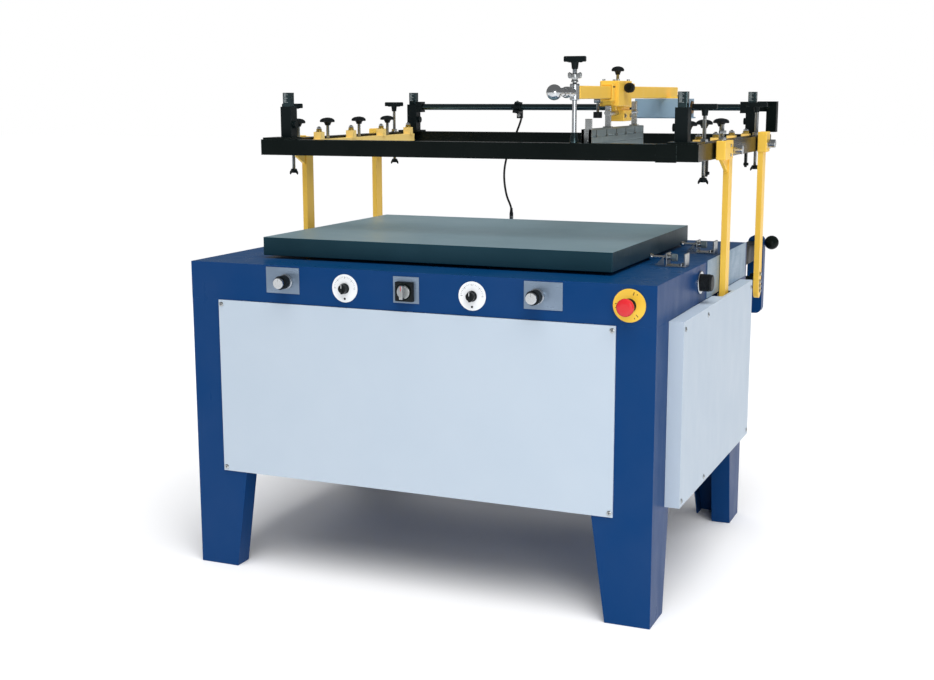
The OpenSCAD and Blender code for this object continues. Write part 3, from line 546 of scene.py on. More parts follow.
        # Painted shade: a black hexagon inside the head stands for the shaded hexagon recess.
        self.nut(Vector(place) + axis * height * 0.45, axis, d * 0.5, height * 0.2, "print_and_painted_shade")

    def hex_bolt(self, place, axis, flats, height, material="zinc"):
        """Hexagon head on its washer."""
        axis = Vector(axis)
        self.rod(place, axis, flats * 0.1, flats * 1.44, material, 28, 0.0002)
        self.nut(Vector(place) + axis * flats * 0.1, axis, flats, height, material)

    def done(self, body, slot, *nodes):
        """Makes the object, on its body, in place of the CAD nodes named."""
        mesh = bpy.data.meshes.new(self.name)
        self.bm.to_mesh(mesh)
        self.bm.free()
        piece = bpy.data.objects.new(self.name, mesh)
        for material in self.used:
            mesh.materials.append(MAT[material])
        bpy.context.scene.collection.objects.link(piece)
        settle(mesh)
        soft_edges(piece)
        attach(piece, body)
        if nodes:
            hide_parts(*nodes)
        return piece


def keep(node, material, edge=0.0015, steps=2):
    """A CAD node whose shape is right: its own mesh, with softened edges and a finish."""
    piece = frame["nodes"][node]
    piece.data.materials.clear()
    piece.data.materials.append(MAT[material])
    weld = piece.modifiers.new("weld", "WELD")
    weld.merge_threshold = 0.00001
    flat = piece.modifiers.new("flat", "DECIMATE")
    flat.decimate_type, flat.angle_limit = "DISSOLVE", math.radians(0.6)
    if edge:
        bevel = piece.modifiers.new("edge", "BEVEL")
        bevel.width, bevel.segments, bevel.limit_method = edge, steps, "ANGLE"
        bevel.angle_limit = math.radians(40)
        bevel.use_clamp_overlap = True
        bevel.harden_normals = False
    soft_edges(piece)


def solids(node):
    """Boxes of a node's separate solids, as (lowest corner, highest corner), in the order of X then Y."""
    mesh = frame["nodes"][node].data
    owner = {}

    def root(k):
        while owner[k] != k:
            owner[k] = owner[owner[k]]
            k = owner[k]
        return k

    keys = [tuple(round(c, 5) for c in v.co) for v in mesh.vertices]
    for k in keys:
        owner.setdefault(k, k)
    for face in mesh.polygons:
        first = root(keys[face.vertices[0]])
        for i in face.vertices[1:]:
            owner[root(keys[i])] = first
    groups = {}
    for k in owner:
        groups.setdefault(root(k), []).append(k)
    boxes = [(Vector(map(min, *g)), Vector(map(max, *g))) for g in groups.values() if len(g) > 3]
    return sorted(boxes, key=lambda b: (round((b[0].x + b[1].x) / 2, 2), b[0].y))


def middle(box):
    return (box[0] + box[1]) / 2


# ---- Lead of the stop switch ----

CABLE_D = 0.007
ROUTE = [
    (-0.192, 0.596, 1.15), (-0.192, 0.609, 1.15), (-0.194, 0.621, 1.147), (-0.2, 0.634, 1.137),
    (-0.21, 0.645, 1.119), (-0.222, 0.652, 1.096), (-0.235, 0.656, 1.07), (-0.248, 0.657, 1.042),
    (-0.259, 0.657, 1.012), (-0.266, 0.657, 0.98), (-0.268, 0.657, 0.948), (-0.265, 0.657, 0.916),
    (-0.258, 0.657, 0.884), (-0.247, 0.657, 0.858), (-0.243, 0.657, 0.846), (-0.242, 0.657, 0.84),
    (-0.242, 0.657, 0.832),
]


def smooth_line(points, steps=6):
    """Smooth curve through the points (Catmull-Rom)."""
    pts = [Vector(p) for p in points]
    pts = [pts[0] * 2 - pts[1], *pts, pts[-1] * 2 - pts[-2]]
    made = []
    for a, b, c, d in zip(pts, pts[1:], pts[2:], pts[3:]):
        for k in range(steps):
            t = k / steps
            bend = (a * 2 - b * 5 + c * 4 - d) * t**2 + (b * 3 - a - c * 3 + d) * t**3
            made.append((b * 2 + (c - a) * t + bend) / 2)
    return made + [pts[-2]]


def make_lead():
    """Lead of the stop switch, with its plug on the free end."""
    line = smooth_line(ROUTE)
    data = bpy.data.curves.new("stop_lead", "CURVE")
    data.dimensions = "3D"
    data.bevel_depth, data.bevel_resolution = CABLE_D / 2, 5
    data.use_fill_caps = True
    spline = data.splines.new("POLY")
    spline.points.add(len(line) - 1)
    for point, place in zip(spline.points, line):
        point.co = (*place, 1)
    data.materials.append(MAT["cable"])
    lead = bpy.data.objects.new("stop_lead", data)
    bpy.context.scene.collection.objects.link(lead)
    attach(lead, "carrier")
    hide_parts("stop_cable")
    end = Vector(ROUTE[-1])
    body = Piece("lead_plug")
    shell = [(0.0041, -0.014), (0.0052, 0), (0.0063, 0.003), (0.0063, 0.034), (0.0045, 0.036)]
    shell.append((0.0045, 0.042))
    body.solid(end, -Z, shell, "plastic")
    body.knurled(end - Z * 0.012, -Z, 0.016, 0.013, "zinc", teeth=24, bite=0.0004, edge=0.0006)
    plug = body.done("carrier", "black_plastic", "stop_plug")


# ---- Base and its controls ----

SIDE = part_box("housing")[1].x
OUT = -Y


def pan_screw(piece, place, axis, d, height):
    """Cross-head screw; place is the middle of the seat."""
    axis = Vector(axis)
    profile = [(0, -0.0003), (d / 2, -0.0003), (d / 2, height * 0.4), (d * 0.34, height * 0.85), (0, height)]
    piece.lathe(place, axis, profile, "zinc", 24, 0.0003)
    arm, half = d * 0.24, d * 0.05
    cross = [(half, half), (half, arm), (-half, arm), (-half, half), (-arm, half), (-arm, -half)]
    cross += [(-a, -b) for a, b in cross]
    # Painted shade: a black cross set into the head stands for the shaded cross recess.
    piece.prism(cross, Vector(place) + axis * height * 0.75, axis, height * 0.27, "print_and_painted_shade", 0)


def make_screws():
    """Cross-head screws of the panels and side covers."""
    piece = Piece("panel_screw_heads")
    head_d, head_h = 0.012, 0.0024
    for lo, hi in solids("panel_screws"):
        mid = middle((lo, hi))
        if abs(mid.x) > SIDE:
            out = X if mid.x > 0 else -X
            seat = (hi.x if mid.x > 0 else lo.x) - out.x * head_h
            pan_screw(piece, (seat, mid.y, mid.z), out, head_d, head_h)
        else:
            pan_screw(piece, (mid.x, lo.y + head_h, mid.z), OUT, head_d, head_h)
    piece.done("base", "screw_zinc", "panel_screws")


def tick(piece, centre, angle, inner, outer, width, lift, material="print_and_painted_shade"):
    """Radial mark on a disc that faces the front; the angle runs clockwise from the top."""
    turn = (angle, Y, centre)
    c = Vector(centre)
    a = c + Vector((-width / 2, 0, inner))
    piece.box(a, c + Vector((width / 2, -lift, outer)), material, 0, 1, turn)


def make_legends():
    """Graduated discs behind the dial knobs and the yellow disc of the emergency stop."""
    print_lift = 0.0002
    for lo, hi in solids("legend_discs"):
        mid, r = middle((lo, hi)), (hi.x - lo.x) / 2
        centre = Vector((mid.x, hi.y, mid.z))
        thick = hi.y - lo.y
        stop = mid.x > 0.4
        piece = Piece("stop_disc" if stop else "dial_disc_" + ("left" if mid.x < 0 else "right"))
        bore = 0.0112 if stop else 0.0  # radius; room for the button's stem
        ring = [(bore, 0), (r, 0), (r, thick), (bore, thick)]
        piece.lathe(centre, OUT, ring, "stop_disc" if stop else "legend", 72)
        face = Vector((mid.x, lo.y, mid.z))
        if stop:
            for k in range(3):
                tick(piece, face, k * TAU / 3 + 0.35, r * 0.66, r * 0.86, 0.0016, print_lift)
                tick(piece, face, k * TAU / 3 + 0.62, r * 0.78, r * 0.86, 0.0016, print_lift)
        else:
            for k in range(21):
                inner, width = (0.7, 0.0009) if k % 5 == 0 else (0.76, 0.0005)
                tick(piece, face, math.radians(9 * k - 90), r * inner, r * 0.84, width, print_lift)
            piece.rod(face - Z * r * 0.74, OUT, print_lift, 0.0056, "print_and_painted_shade", 20, 0)
        piece.done("base", "white_disc", *(["legend_discs"] if stop else []))


def make_front_knobs(side):
    """Knurled speed knob with a turned cap, and the pointer knob of the dial beside it."""
    centre = PIVOT["speed_turn_" + side]
    knob = Piece("speed_cap_" + side)
    knob.solid(centre, OUT, [(0.006, 0.003), (0.006, 0.0145)], "steel")
    knob.knurled(centre + OUT * 0.0146, OUT, 0.0205, 0.033, "plastic", 32, 0.0006)
    cap = [(0.0135, 0), (0.014, 0.004), (0.014, 0.0095), (0.0128, 0.011)]
    knob.solid(centre + OUT * 0.035, OUT, cap, "turned", 48)
    knob.across(centre, 0.0006, (-0.046, -0.0455), (0.003, 0.0125), "print_and_painted_shade", 0)
    knob.done("speed_" + side, "black_plastic", "speed_knob_" + side)
    dial = PIVOT["dial_turn_" + side]
    pointer = Piece("dial_pointer_" + side)
    pointer.rod(dial, OUT, 0.0026, 0.008, "steel", 24, 0.0006)
    skirt = [(0.013, 0.0026), (0.013, 0.0055), (0.0112, 0.0075), (0.0104, 0.0175)]
    pointer.solid(dial, OUT, skirt, "plastic", 48)
    pointer.across(dial, 0.0026, (-0.0208, -0.006), (-0.0122, 0.0122), "plastic", 0.0011)
    pointer.across(dial, 0.0005, (-0.02095, -0.0206), (0.002, 0.0116), "legend", 0)
    pointer.done("dial_" + side, "black_plastic", "dial_knob_" + side)


def make_collars():
    """Graduated collars behind the speed knobs and the bezel of the regulator."""
    piece = Piece("collars")
    bore, rim = 0.0066, 0.0185
    ring = [(bore, 0.0019), (rim, 0.0019), (rim, 0.0092), (0.0172, 0.0105), (0.0172, 0.0138), (bore, 0.0138)]
    for side in SIDES:
        centre = PIVOT["speed_turn_" + side]
        piece.lathe(centre, OUT, ring, "turned", 56)
        for k in range(24):
            tick(piece, centre + OUT * 0.0019, k * TAU / 24, 0.0188, 0.0196, 0.0006, 0.002, "steel")
    bezel = [(bore, 0.0003), (0.029, 0.0003), (0.029, 0.003), (0.0275, 0.0041), (bore, 0.0041)]
    piece.lathe(PIVOT["regulator_turn"], X, bezel, "turned", 64)
    piece.done("base", "bright_steel", "control_collars")


def make_regulator():
    reg = PIVOT["regulator_turn"]
    piece = Piece("regulator_barrel")
    piece.rod(reg - X * 0.002, X, 0.008, 0.012, "steel")
    piece.knurled(reg + X * 0.0047, X, 0.0195, 0.043, "plastic", 44, 0.0008)
    cap = [(0.0196, 0), (0.0196, 0.0012), (0.0207, 0.002), (0.0202, 0.007), (0.0182, 0.0083)]
    piece.solid(reg + X * 0.0242, X, cap, "plastic", 56)
    piece.done("regulator", "black_plastic", "regulator_knob")


def make_switch():
    """Main switch: a square body with a turned plate, and its lever with a red mark."""
    lo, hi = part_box("switch_box")
    box = Piece("switch_body")
    box.box(lo, hi, "plastic", 0.0022, 3)
    centre = PIVOT["switch_turn"]
    front = Vector((centre.x, lo.y, centre.z))
    box.solid(front, OUT, [(0.0205, 0), (0.0205, 0.0008), (0.0195, 0.0012)], "gloss_black", 56, 0.0002)
    box.done("base", "black_plastic", "switch_box")
    lever = Piece("switch_lever")
    lever.solid(front + OUT * 0.0017, OUT, [(0.0168, 0), (0.0168, 0.002), (0.0155, 0.0031)], "zinc", 48)
    lever.across(centre, 0.005, (-0.03, -0.0155), (-0.017, 0.017), "zinc", 0.0022, 3)
    lever.across(centre, 0.0007, (-0.0302, -0.0298), (0.004, 0.015), "red", 0)
    lever.done("main_switch", "bright_steel", "switch_handle")


def make_stop_button():
    """Mushroom button with its stem, and the collar that the stem slides in."""
    lo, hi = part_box("estop_button")
    mid = middle((lo, hi))
    tip = Vector((mid.x, lo.y, mid.z))
    r = (hi.x - lo.x) / 2
    mushroom = Piece("stop_mushroom")
    dome = [(0, 0), (r * 0.55, 0.0004), (r * 0.84, 0.0022), (r * 0.985, 0.006), (r, 0.011)]
    dome += [(r * 0.93, 0.016), (r * 0.56, 0.0178), (0, 0.0178)]
    mushroom.lathe(tip, Y, dome, "red", 64, 0.0015)
    mushroom.rod(tip + Y * 0.0175, Y, 0.0255, 0.0216, "plastic", 48, 0.0006)
    mushroom.done("stop_button", "red_plastic", "estop_button")
    collar = Piece("stop_collar")
    seat = Vector((mid.x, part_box("legend_discs")[0].y, mid.z))
    ring = [(0.0113, 0), (0.0165, 0), (0.0165, 0.0035), (0.015, 0.005), (0.0113, 0.005)]
    collar.lathe(seat, OUT, ring, "plastic", 56, 0.0005)
    collar.done("base", "black_plastic")


def make_ball_knobs():
    """Ball knobs on the posts behind the base, each on its stud."""
    for side, sign in SIDES.items():
        lo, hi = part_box("ball_knob_" + side)
        r = (hi.z - lo.z) / 2
        centre = middle((lo, hi))
        centre.x = (hi.x if sign > 0 else lo.x) - sign * r
        out = X * sign
        piece = Piece("ball_grip_" + side)
        piece.ball(centre, r, "gloss_black", out)
        piece.solid(centre - out * r * 1.02, out, [(0.0085, 0), (0.01, 0.004)], "steel", 32)
        piece.threaded(centre - out * (r + 0.024), out, 0.024, 0.0118, "zinc")
        piece.done("knob_" + side, "black_gloss", "ball_knob_" + side)


def make_register():
    """Micrometer stops of the table on their angle brackets."""
    piece = Piece("register_stops")
    for lo, hi in solids("register_brackets"):
        y, z = middle((lo, hi)).y, lo.z + 0.0218
        foot, plate, ear = lo.z, lo.x + 0.047, 0.046
        piece.box((plate, lo.y, foot), (hi.x, hi.y, foot + 0.0038), "zinc", 0.0008)
        for x in (plate, plate + ear):
            piece.box((x, lo.y, foot + 0.003), (x + 0.004, hi.y, hi.z), "zinc", 0.001)
        web = [(0.004, 0), (0.026, 0), (0.004, 0.022)]
        piece.prism(web, (plate, lo.y + 0.0015, foot + 0.0035), Y, 0.003, "zinc", 0.0004, Z)
        piece.rod((lo.x + 0.004, y, z), X, plate - lo.x + 0.02, 0.008, "turned")
        piece.ball((lo.x + 0.007, y, z), 0.0068, "turned", X)
        piece.nut((plate - 0.0062, y, z), X, 0.013, 0.006, "steel")
        piece.knurled((plate + 0.012, y, z), X, 0.0125, 0.018, "alloy", 32, 0.0004)
        piece.rod((plate + 0.004, y, z), X, 0.01, 0.013, "steel")
        for dy in (-0.012, 0.012):
            piece.socket_screw((hi.x - 0.012, y + dy, foot + 0.0038), Z, 0.009, 0.0045)
    piece.done("base", "alloy", "register_brackets")


# ---- Lift ----


def stadium(low, high, r, n=16):
    """Outline of an upright bar with round ends."""
    top = [(r * math.cos(math.pi * k / n), high - r + r * math.sin(math.pi * k / n)) for k in range(n + 1)]
    return top + [(-a, low + high - b) for a, b in top]


def plate_x(sign, near, far):
    """Lower X and thickness of a plate from near to far out of the middle, on one side."""
    return (near if sign > 0 else -far), far - near


def make_arms():
    """Rear and front arms with their blocks, bolts, gussets and adjusting screws."""
    bar_w, bar_t, stub = 0.04, 0.015, 0.049
    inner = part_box("rear_arms")[1].x - 0.024
    low, top = PIVOT["lift"].z - stub, PIVOT["carrier_level"].z
    for name, joint, rear in (("rear", "lift", True), ("front", "front_arm_swing", False)):
        y = PIVOT[joint].y
        piece = Piece(name + "_arm_bars")
        for sign in (-1, 1):
            out = X * sign
            x, depth = plate_x(sign, inner, inner + bar_t)
            piece.prism(stadium(low, top + 0.022, bar_w / 2), (x, y, 0), X, depth, "yellow", 0.0016, Z, 3)
            face = sign * (inner + bar_t)
            a, b = sign * (inner - (0.002 if rear else 0)), sign * (inner + 0.024)
            if rear:
                piece.box((a, y - 0.022, top - 0.024), (b, y + 0.03, top + 0.034), "yellow", 0.0022, 3)
                for z in (0.022, 0.0, -0.014, -0.028):
                    piece.hex_bolt((face, y, PIVOT[joint].z + z), out, 0.0095, 0.0034)
                continue
            piece.box((a, y - 0.11, top - 0.023), (b, y - 0.016, top + 0.025), "yellow", 0.0022, 3)
            x, depth = plate_x(sign, inner + 0.003, inner + 0.012)
            gusset = [(-0.092, -0.022), (-0.018, -0.06), (-0.018, -0.022)]
            piece.prism(gusset, (x, y, top), X, depth, "yellow", 0.001, Z)
            screw = Vector((sign * (inner + 0.01), y - 0.085, top + 0.024))
            piece.rod(screw, Z, 0.0022, 0.021, "zinc", 32, 0.0004)
            piece.threaded(screw, Z, 0.042, 0.0088, "zinc")
            piece.nut(screw + Z * 0.0022, Z, 0.0165, 0.0085, "steel")
            piece.nut(screw + Z * 0.018, Z, 0.0165, 0.0085, "steel")
            for dz in (-0.012, 0.012):
                piece.socket_screw((b, y - 0.048, top + dz), out, 0.0085, 0.0028)
        piece.done(name + "_lift", "yellow_paint", name + "_arms")


# ---- Carrier ----


BLOCK_X = 0.5545
BLOCK_Y = (-0.07, 0.126, 0.327, 0.523)


def star_knob(piece, seat, d, height):
    """Domed five-lobed knob on a tapered neck, with a cap in the top."""
    r = d / 2
    neck = [(r * 0.34, 0), (r * 0.38, 0.004), (r * 0.58, 0.0115)]
    piece.solid(seat - Z * 0.0105, Z, neck, "plastic", 32, 0.001)
    rim = ((0.0012, 0.5, 0.05), (-0.0014, 0.88, 0.22), (-0.0008, 0.97, 0.25), (0.0018, 1.0, 0.26))
    dome = ((0.45, 0.96, 0.25), (0.72, 0.82, 0.19), (0.92, 0.6, 0.08), (1.0, 0.42, 0.0))
    levels = [(up, r * reach, hollow) for up, reach, hollow in rim]
    levels += [(height * up, r * reach, hollow) for up, reach, hollow in dome]
    piece.lobed(seat, Z, levels, "plastic")
    cap = [(0, 0), (r * 0.34, 0), (r * 0.3, 0.0014), (0, 0.0018)]
    piece.lathe(seat + Z * (height - 0.0006), Z, cap, "gloss_black", 32)


def make_clamp_knobs():
    """Star knobs of the clamp bars, with their screws and pressure feet."""
    knob_d, knob_h = 0.046, 0.011
    for side in SIDES:
        piece = Piece("clamp_stars_" + side)
        for lo, hi in solids("clamp_knobs_" + side):
            mid = middle((lo, hi))
            star_knob(piece, Vector((mid.x, mid.y, hi.z - knob_h)), knob_d, knob_h)
            piece.threaded((mid.x, mid.y, lo.z + 0.003), Z, hi.z - knob_h - 0.012 - lo.z, 0.0098, "zinc")
            foot = [(0.009, 0), (0.009, 0.0042), (0.0062, 0.006)]
            piece.solid((mid.x, mid.y, lo.z), Z, foot, "plastic", 32)
        piece.done("clamp_" + side, "black_plastic", "clamp_knobs_" + side)


def mirrored(right):
    """Outline that is the same on both sides, from its right side."""
    return right + [(-a, b) for a, b in reversed(right)]


def t_handle(piece, seat, w, d):
    """Moulded cross bar with chamfered ends on a flared hub; seat is the underside of the bar."""
    half, low = w / 2, d * 0.08
    right = [(half * 0.25, 0), (half * 0.45, low), (half - low, low), (half, d * 0.22)]
    right += [(half, d * 0.86), (half - d * 0.14, d)]
    piece.prism(mirrored(right), seat - Y * d * 0.48, Y, d * 0.96, "satin_black", 0.0022, Z, 3)
    hub = [(0, 0), (d * 0.52, 0), (d * 0.56, d * 0.4), (d * 0.65, d * 1.15), (0, d * 1.2)]
    piece.lathe(seat - Z * d * 1.1, Z, hub, "satin_black", 36, 0.001)


def wing_nut(piece, seat):
    """Wing nut that closes the lower end of a rod, with its wings outward and down from the seat."""
    piece.solid(seat, -Z, [(0.0088, 0), (0.008, 0.007), (0.0062, 0.0115)], "satin_black", 32)
    wing = [(0.004, 0.001), (0.0088, 0.0015), (0.0132, 0.009), (0.0136, 0.0145)]
    wing += [(0.0116, 0.0165), (0.009, 0.0135), (0.0045, 0.0085)]
    for sign in (-1, 1):
        outline = [(sign * a, -b) for a, b in wing]
        piece.prism(outline, seat - Y * 0.0018, Y, 0.0036, "satin_black", 0.001, Z)


def make_frame_screws():
    """T-handle screws through the carrier's side beams, each with a washer, a nut and a wing nut."""
    piece = Piece("beam_screws")
    nut_h, screw_l = 0.017, 0.182
    beam_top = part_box("carrier_frame")[1].z - 0.005
    for lo, hi in solids("frame_screws"):
        if hi.z - lo.z < 0.1:
            continue
        x, y = middle((lo, hi)).x, middle((lo, hi)).y
        piece.threaded((x, y, lo.z + nut_h / 2), Z, screw_l - nut_h / 2, 0.0098, "zinc")
        t_handle(piece, Vector((x, y, hi.z - 0.014)), 0.062, 0.014)
        piece.rod((x, y, beam_top + 0.0002), Z, 0.002, 0.023, "zinc", 32, 0.0004)
        piece.nut((x, y, beam_top + 0.0022), Z, 0.017, 0.0075, "steel")
        wing_nut(piece, Vector((x, y, lo.z + nut_h)))
    piece.done("carrier", "bright_steel", "frame_screws")


def make_post_scales():
    """Graduations on the front and outer faces of the corner tubes, above their sleeves."""
    piece = Piece("post_scales")
    inset, pitch, line_h, lift = 0.003, 0.002, 0.0005, 0.0002
    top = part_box("corner_sleeves")[1].z + inset
    for lo, hi in solids("post_tubes"):
        for k in range(int((hi.z - top) / pitch)):
            z = top + pitch * k
            near, far = inset, inset + (0.013 if k % 5 == 0 else 0.008)
            marks = [((lo.x + near, lo.y - lift, z), (lo.x + far, lo.y + lift, z + line_h))]
            if hi.x > 0:
                marks.append(((hi.x - lift, lo.y + near, z), (hi.x + lift, lo.y + far, z + line_h)))
            for a, b in marks:
                piece.box(a, b, "white_print", 0)
    piece.done("carrier", "dark_steel")


def make_block_nuts():
    """Brass nuts and locking screws on the blocks of the clamp bars."""
    for side, sign in SIDES.items():
        piece = Piece("block_nuts_" + side)
        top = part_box("clamp_bar_" + side)[1].z
        x = sign * BLOCK_X
        for y in BLOCK_Y:
            piece.rod((x, y, top), Z, 0.0016, 0.02, "brass", 32, 0.0003)
            piece.nut((x, y, top + 0.0016), Z, 0.0155, 0.007, "brass")
            piece.nut((x, y, top + 0.009), Z, 0.013, 0.004, "steel")
            piece.threaded((x, y, top + 0.0016), Z, 0.014, 0.0078, "zinc")
        piece.done("clamp_" + side, "bronze")


def make_stroke_stop():
    """Switch clamped on the rail: split clamp, screw on top, wing screw behind and gland below."""
    lo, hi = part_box("stroke_stop")
    at = middle(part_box("squeegee_rail"))
    at.x = middle((lo, hi)).x
    gland = Vector(ROUTE[0])
    lean = (math.radians(9), Y, at)
    piece = Piece("rail_switch")
    ring = [(0.0102, -0.011), (0.015, -0.011), (0.015, 0.011), (0.0102, 0.011)]
    piece.lathe(at, X, ring, "satin_black", 40, 0.001)
    piece.across(at, 0.0085, (-0.0168, 0.012), (0.0095, 0.0165), "satin_black", 0.0012, 3, lean)
    low = at - X * 0.00025
    piece.across(low, 0.01075, (-0.0168, 0.015), (-0.0195, -0.0098), "plastic", 0.0014, 3, lean)
    screw = at + Vector((0.001, -0.009, 0.01))
    piece.threaded(screw, Z, 0.011, 0.005, "zinc")
    piece.nut(screw + Z * 0.0063, Z, 0.0082, 0.003, "zinc")
    wing = [(0.009, -0.005), (0.015, -0.0095), (0.0186, -0.0085), (0.018, -0.0035), (0.012, 0.0035)]
    for sign, high in ((-1, 0.004), (1, -0.006)):
        outline = [(sign * a, b - high) for a, b in wing]
        piece.prism(outline, at - Y * 0.0155, Y, 0.005, "satin_black", 0.001, Z, 2)
    start = (at.x - 0.01, at.y + 0.0125, gland.z - 0.0098)
    piece.box(start, (at.x + 0.0078, hi.y - 0.0002, at.z - 0.001), "plastic", 0.0016, 3)
    piece.rod(gland - Y * 0.005, Y, 0.0052, 0.0118, "zinc", 28)
    piece.done("carrier", "black_plastic", "stroke_stop")


# ---- Squeegee ----

ARM_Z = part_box("squeegee_arm")[1].z - 0.0215  # middle of the arm's tube
ARM_W, ARM_H = 0.0125, 0.0165  # half the tube's width and height


def make_arm():
    """Arm tube with its end plug, the hub of the height screw, the ball handle and the plate behind."""
    lo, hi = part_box("squeegee_arm")
    ball_r = 0.019
    foot_y, rear = PIVOT["height_turn"].y, PIVOT["arm_raise"].y
    x = PIVOT["arm_raise"].x
    ball = Vector((x, lo.y + ball_r, ARM_Z))
    z0, z1 = ARM_Z - ARM_H, ARM_Z + ARM_H
    piece = Piece("squeegee_beam")
    piece.across(X * x, ARM_W, (foot_y + 0.009, hi.y), (z0, z1), "yellow", 0.003, 4)
    piece.across(X * x, 0.0115, (hi.y - 0.0035, hi.y - 0.0001), (z0 + 0.001, z1 - 0.001), "plastic", 0.001)
    hub = [(0.0066, -0.003), (0.0108, -0.003), (0.012, -0.001), (0.012, 0.036)]
    hub += [(0.0108, 0.038), (0.0066, 0.038)]
    piece.lathe((x, foot_y, z0), Z, hub, "steel", 48, 0.0012)
    neck = [(0.0104, 0.012), (0.0088, 0.021), (0.011, 0.03), (0.011, 0.048), (0.0094, 0.051)]
    neck += [(0.0094, 0.056), (0.011, 0.059), (0.011, 0.082), (0.014, 0.086), (0.014, 0.107)]
    neck += [(0.011, 0.11), (0.011, 0.134)]
    piece.solid(ball, Y, neck, "turned", 48, 0.001)
    piece.ball(ball, ball_r, "turned", Y)
    plate = Vector((x, rear, z0))
    piece.across(plate, 0.06, (-0.024, 0.024), (-0.0012, 0.0038), "yellow", 0.0012)
    for dx in (-0.046, 0.046):
        for dy in (-0.014, 0.014):
            piece.socket_screw(plate + Vector((dx, dy, 0.0038)), Z, 0.009, 0.0048, "zinc")
    piece.done("arm", "yellow_paint", "squeegee_arm")


def make_height_screw():
    """Spindle with its foot, a butterfly nut on the arm and a T handle on top."""
    lo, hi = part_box("height_screw")
    x, y = PIVOT["height_turn"].x, PIVOT["height_turn"].y
    nut = Vector((x, y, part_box("squeegee_arm")[1].z + 0.003))
    piece = Piece("height_spindle")
    foot = [(0.0109, 0), (0.0109, 0.004), (0.0098, 0.012), (0.0068, 0.026)]
    piece.solid((x, y, lo.z), Z, foot, "dark_steel", 48)
    piece.rod((x, y, lo.z + 0.02), Z, 0.086, 0.0118, "steel")
    piece.threaded((x, y, lo.z + 0.106), Z, 0.092, 0.0118, "steel")
    barrel = [(0.009, 0), (0.009, 0.003), (0.0074, 0.007), (0.0086, 0.012), (0.0086, 0.02)]
    barrel.append((0.007, 0.022))
    piece.solid(nut, Z, barrel, "zinc", 40)
    wing = [(0.004, 0.011), (0.012, 0.0094), (0.0168, 0.0112), (0.018, 0.0165)]
    wing += [(0.0174, 0.0225), (0.014, 0.0248), (0.009, 0.0225), (0.004, 0.019)]
    for sign in (-1, 1):
        outline = [(sign * a, b) for a, b in wing]
        piece.prism(outline, nut - Y * 0.0038, Y, 0.0076, "zinc", 0.0018, Z, 3)
    t_handle(piece, Vector((x, y, hi.z - 0.015)), 0.056, 0.015)
    piece.done("height", "bright_steel", "height_screw")


def make_head_knobs(piece, x, y0, top):
    """Star knob on top, clamp knob in its lug on the right, and the black stop knob on the left."""
    star = Vector((x, y0 + 0.101, top + 0.041))
    star_knob(piece, star, 0.036, 0.011)
    piece.threaded(star - Z * 0.029, Z, 0.02, 0.0088, "zinc")
    clamp = Vector((x + 0.04, y0 + 0.072, ARM_Z + 0.0125))
    piece.across(clamp - X * 0.002, 0.012, (0.016, 0.025), (-0.011, 0.011), "yellow", 0.0016, 3)
    piece.rod(clamp + Y * 0.014, Y, 0.024, 0.009, "steel")
    piece.knurled(clamp, Y, 0.0155, 0.0258, "plastic", 28, 0.0008)
    piece.solid(clamp + Y * 0.0004, OUT, [(0.0088, 0), (0.008, 0.001)], "gloss_black", 36, 0.0002)
    stop = Vector((x - 0.029, y0 + 0.018, ARM_Z - 0.0675))
    barrel = Vector((x - 0.038, stop.y, ARM_Z - 0.0215))
    piece.knurled(barrel, X, 0.014, 0.0128, "turned", 28, 0.0005)
    piece.rod(barrel + X * 0.012, X, 0.012, 0.009, "steel")
    piece.threaded(stop + Z * 0.015, Z, 0.03, 0.0078, "zinc")
    piece.knurled(stop, Z, 0.0165, 0.0238, "plastic", 26, 0.0008)


def make_head():
    """Two-jaw slider round the arm, its neck over the holder, and its knobs."""
    tilt = PIVOT["head_tilt"]
    x, slip = tilt.x, 0.0005
    y0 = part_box("squeegee_head")[0].y
    z0, z1 = ARM_Z - ARM_H - slip, ARM_Z + ARM_H + slip
    piece = Piece("head_slider")
    jaws = ((0.0, 0.027, 0.017, 0.0075, 0.009), (0.026, 0.148, 0.027, 0.0195, 0.014))
    for near, far, half, low, high in jaws:
        span = (y0 + near, y0 + far)
        piece.across(X * x, half, span, (z1, z1 + high), "yellow", 0.0024, 3)
        piece.across(X * x, half, span, (z0 - low, z0), "yellow", 0.0024, 3)
        for sign in (-1, 1):
            inner = (x + sign * (ARM_W + slip), span[0], z0 - 0.004)
            piece.box(inner, (x + sign * half, span[1], z1 + 0.004), "yellow", 0.0016, 3)
    # Painted shade: a thin black sheet on the front jaw's right face stands for the shadow in the gap at its
    # top.
    slot = (x + 0.0165, y0 + 0.003, z1 - 0.004)
    piece.box(slot, (x + 0.0172, y0 + 0.024, z1 - 0.0005), "print_and_painted_shade", 0)
    for dy in (0.04, 0.134):
        for sign in (-1, 1):
            piece.socket_screw((x + sign * 0.02, y0 + dy, z1 + 0.014), Z, 0.008, 0.0045, "zinc")
    gusset = [(-0.002, -0.0065), (-0.03, -0.0065), (-0.06, -0.018), (-0.06, -0.031)]
    gusset += [(-0.044, -0.031), (-0.035, -0.0155), (-0.01, -0.015)]
    piece.prism(gusset, (x + 0.012, y0, z0), -X, 0.024, "yellow", 0.0012, Z)
    for half, low, high in ((0.02, -0.023, 0.007), (0.014, 0.006, 0.015), (0.02, 0.014, 0.03)):
        piece.across(tilt, half, (-0.038, 0.038), (low, high), "yellow", 0.0018, 3)
    for dy in (-0.026, 0.026):
        piece.hex_bolt(tilt + Vector((0.02, dy, -0.008)), X, 0.0085, 0.003)
    make_head_knobs(piece, x, y0, z1)
    piece.done("head", "yellow_paint", "squeegee_head")


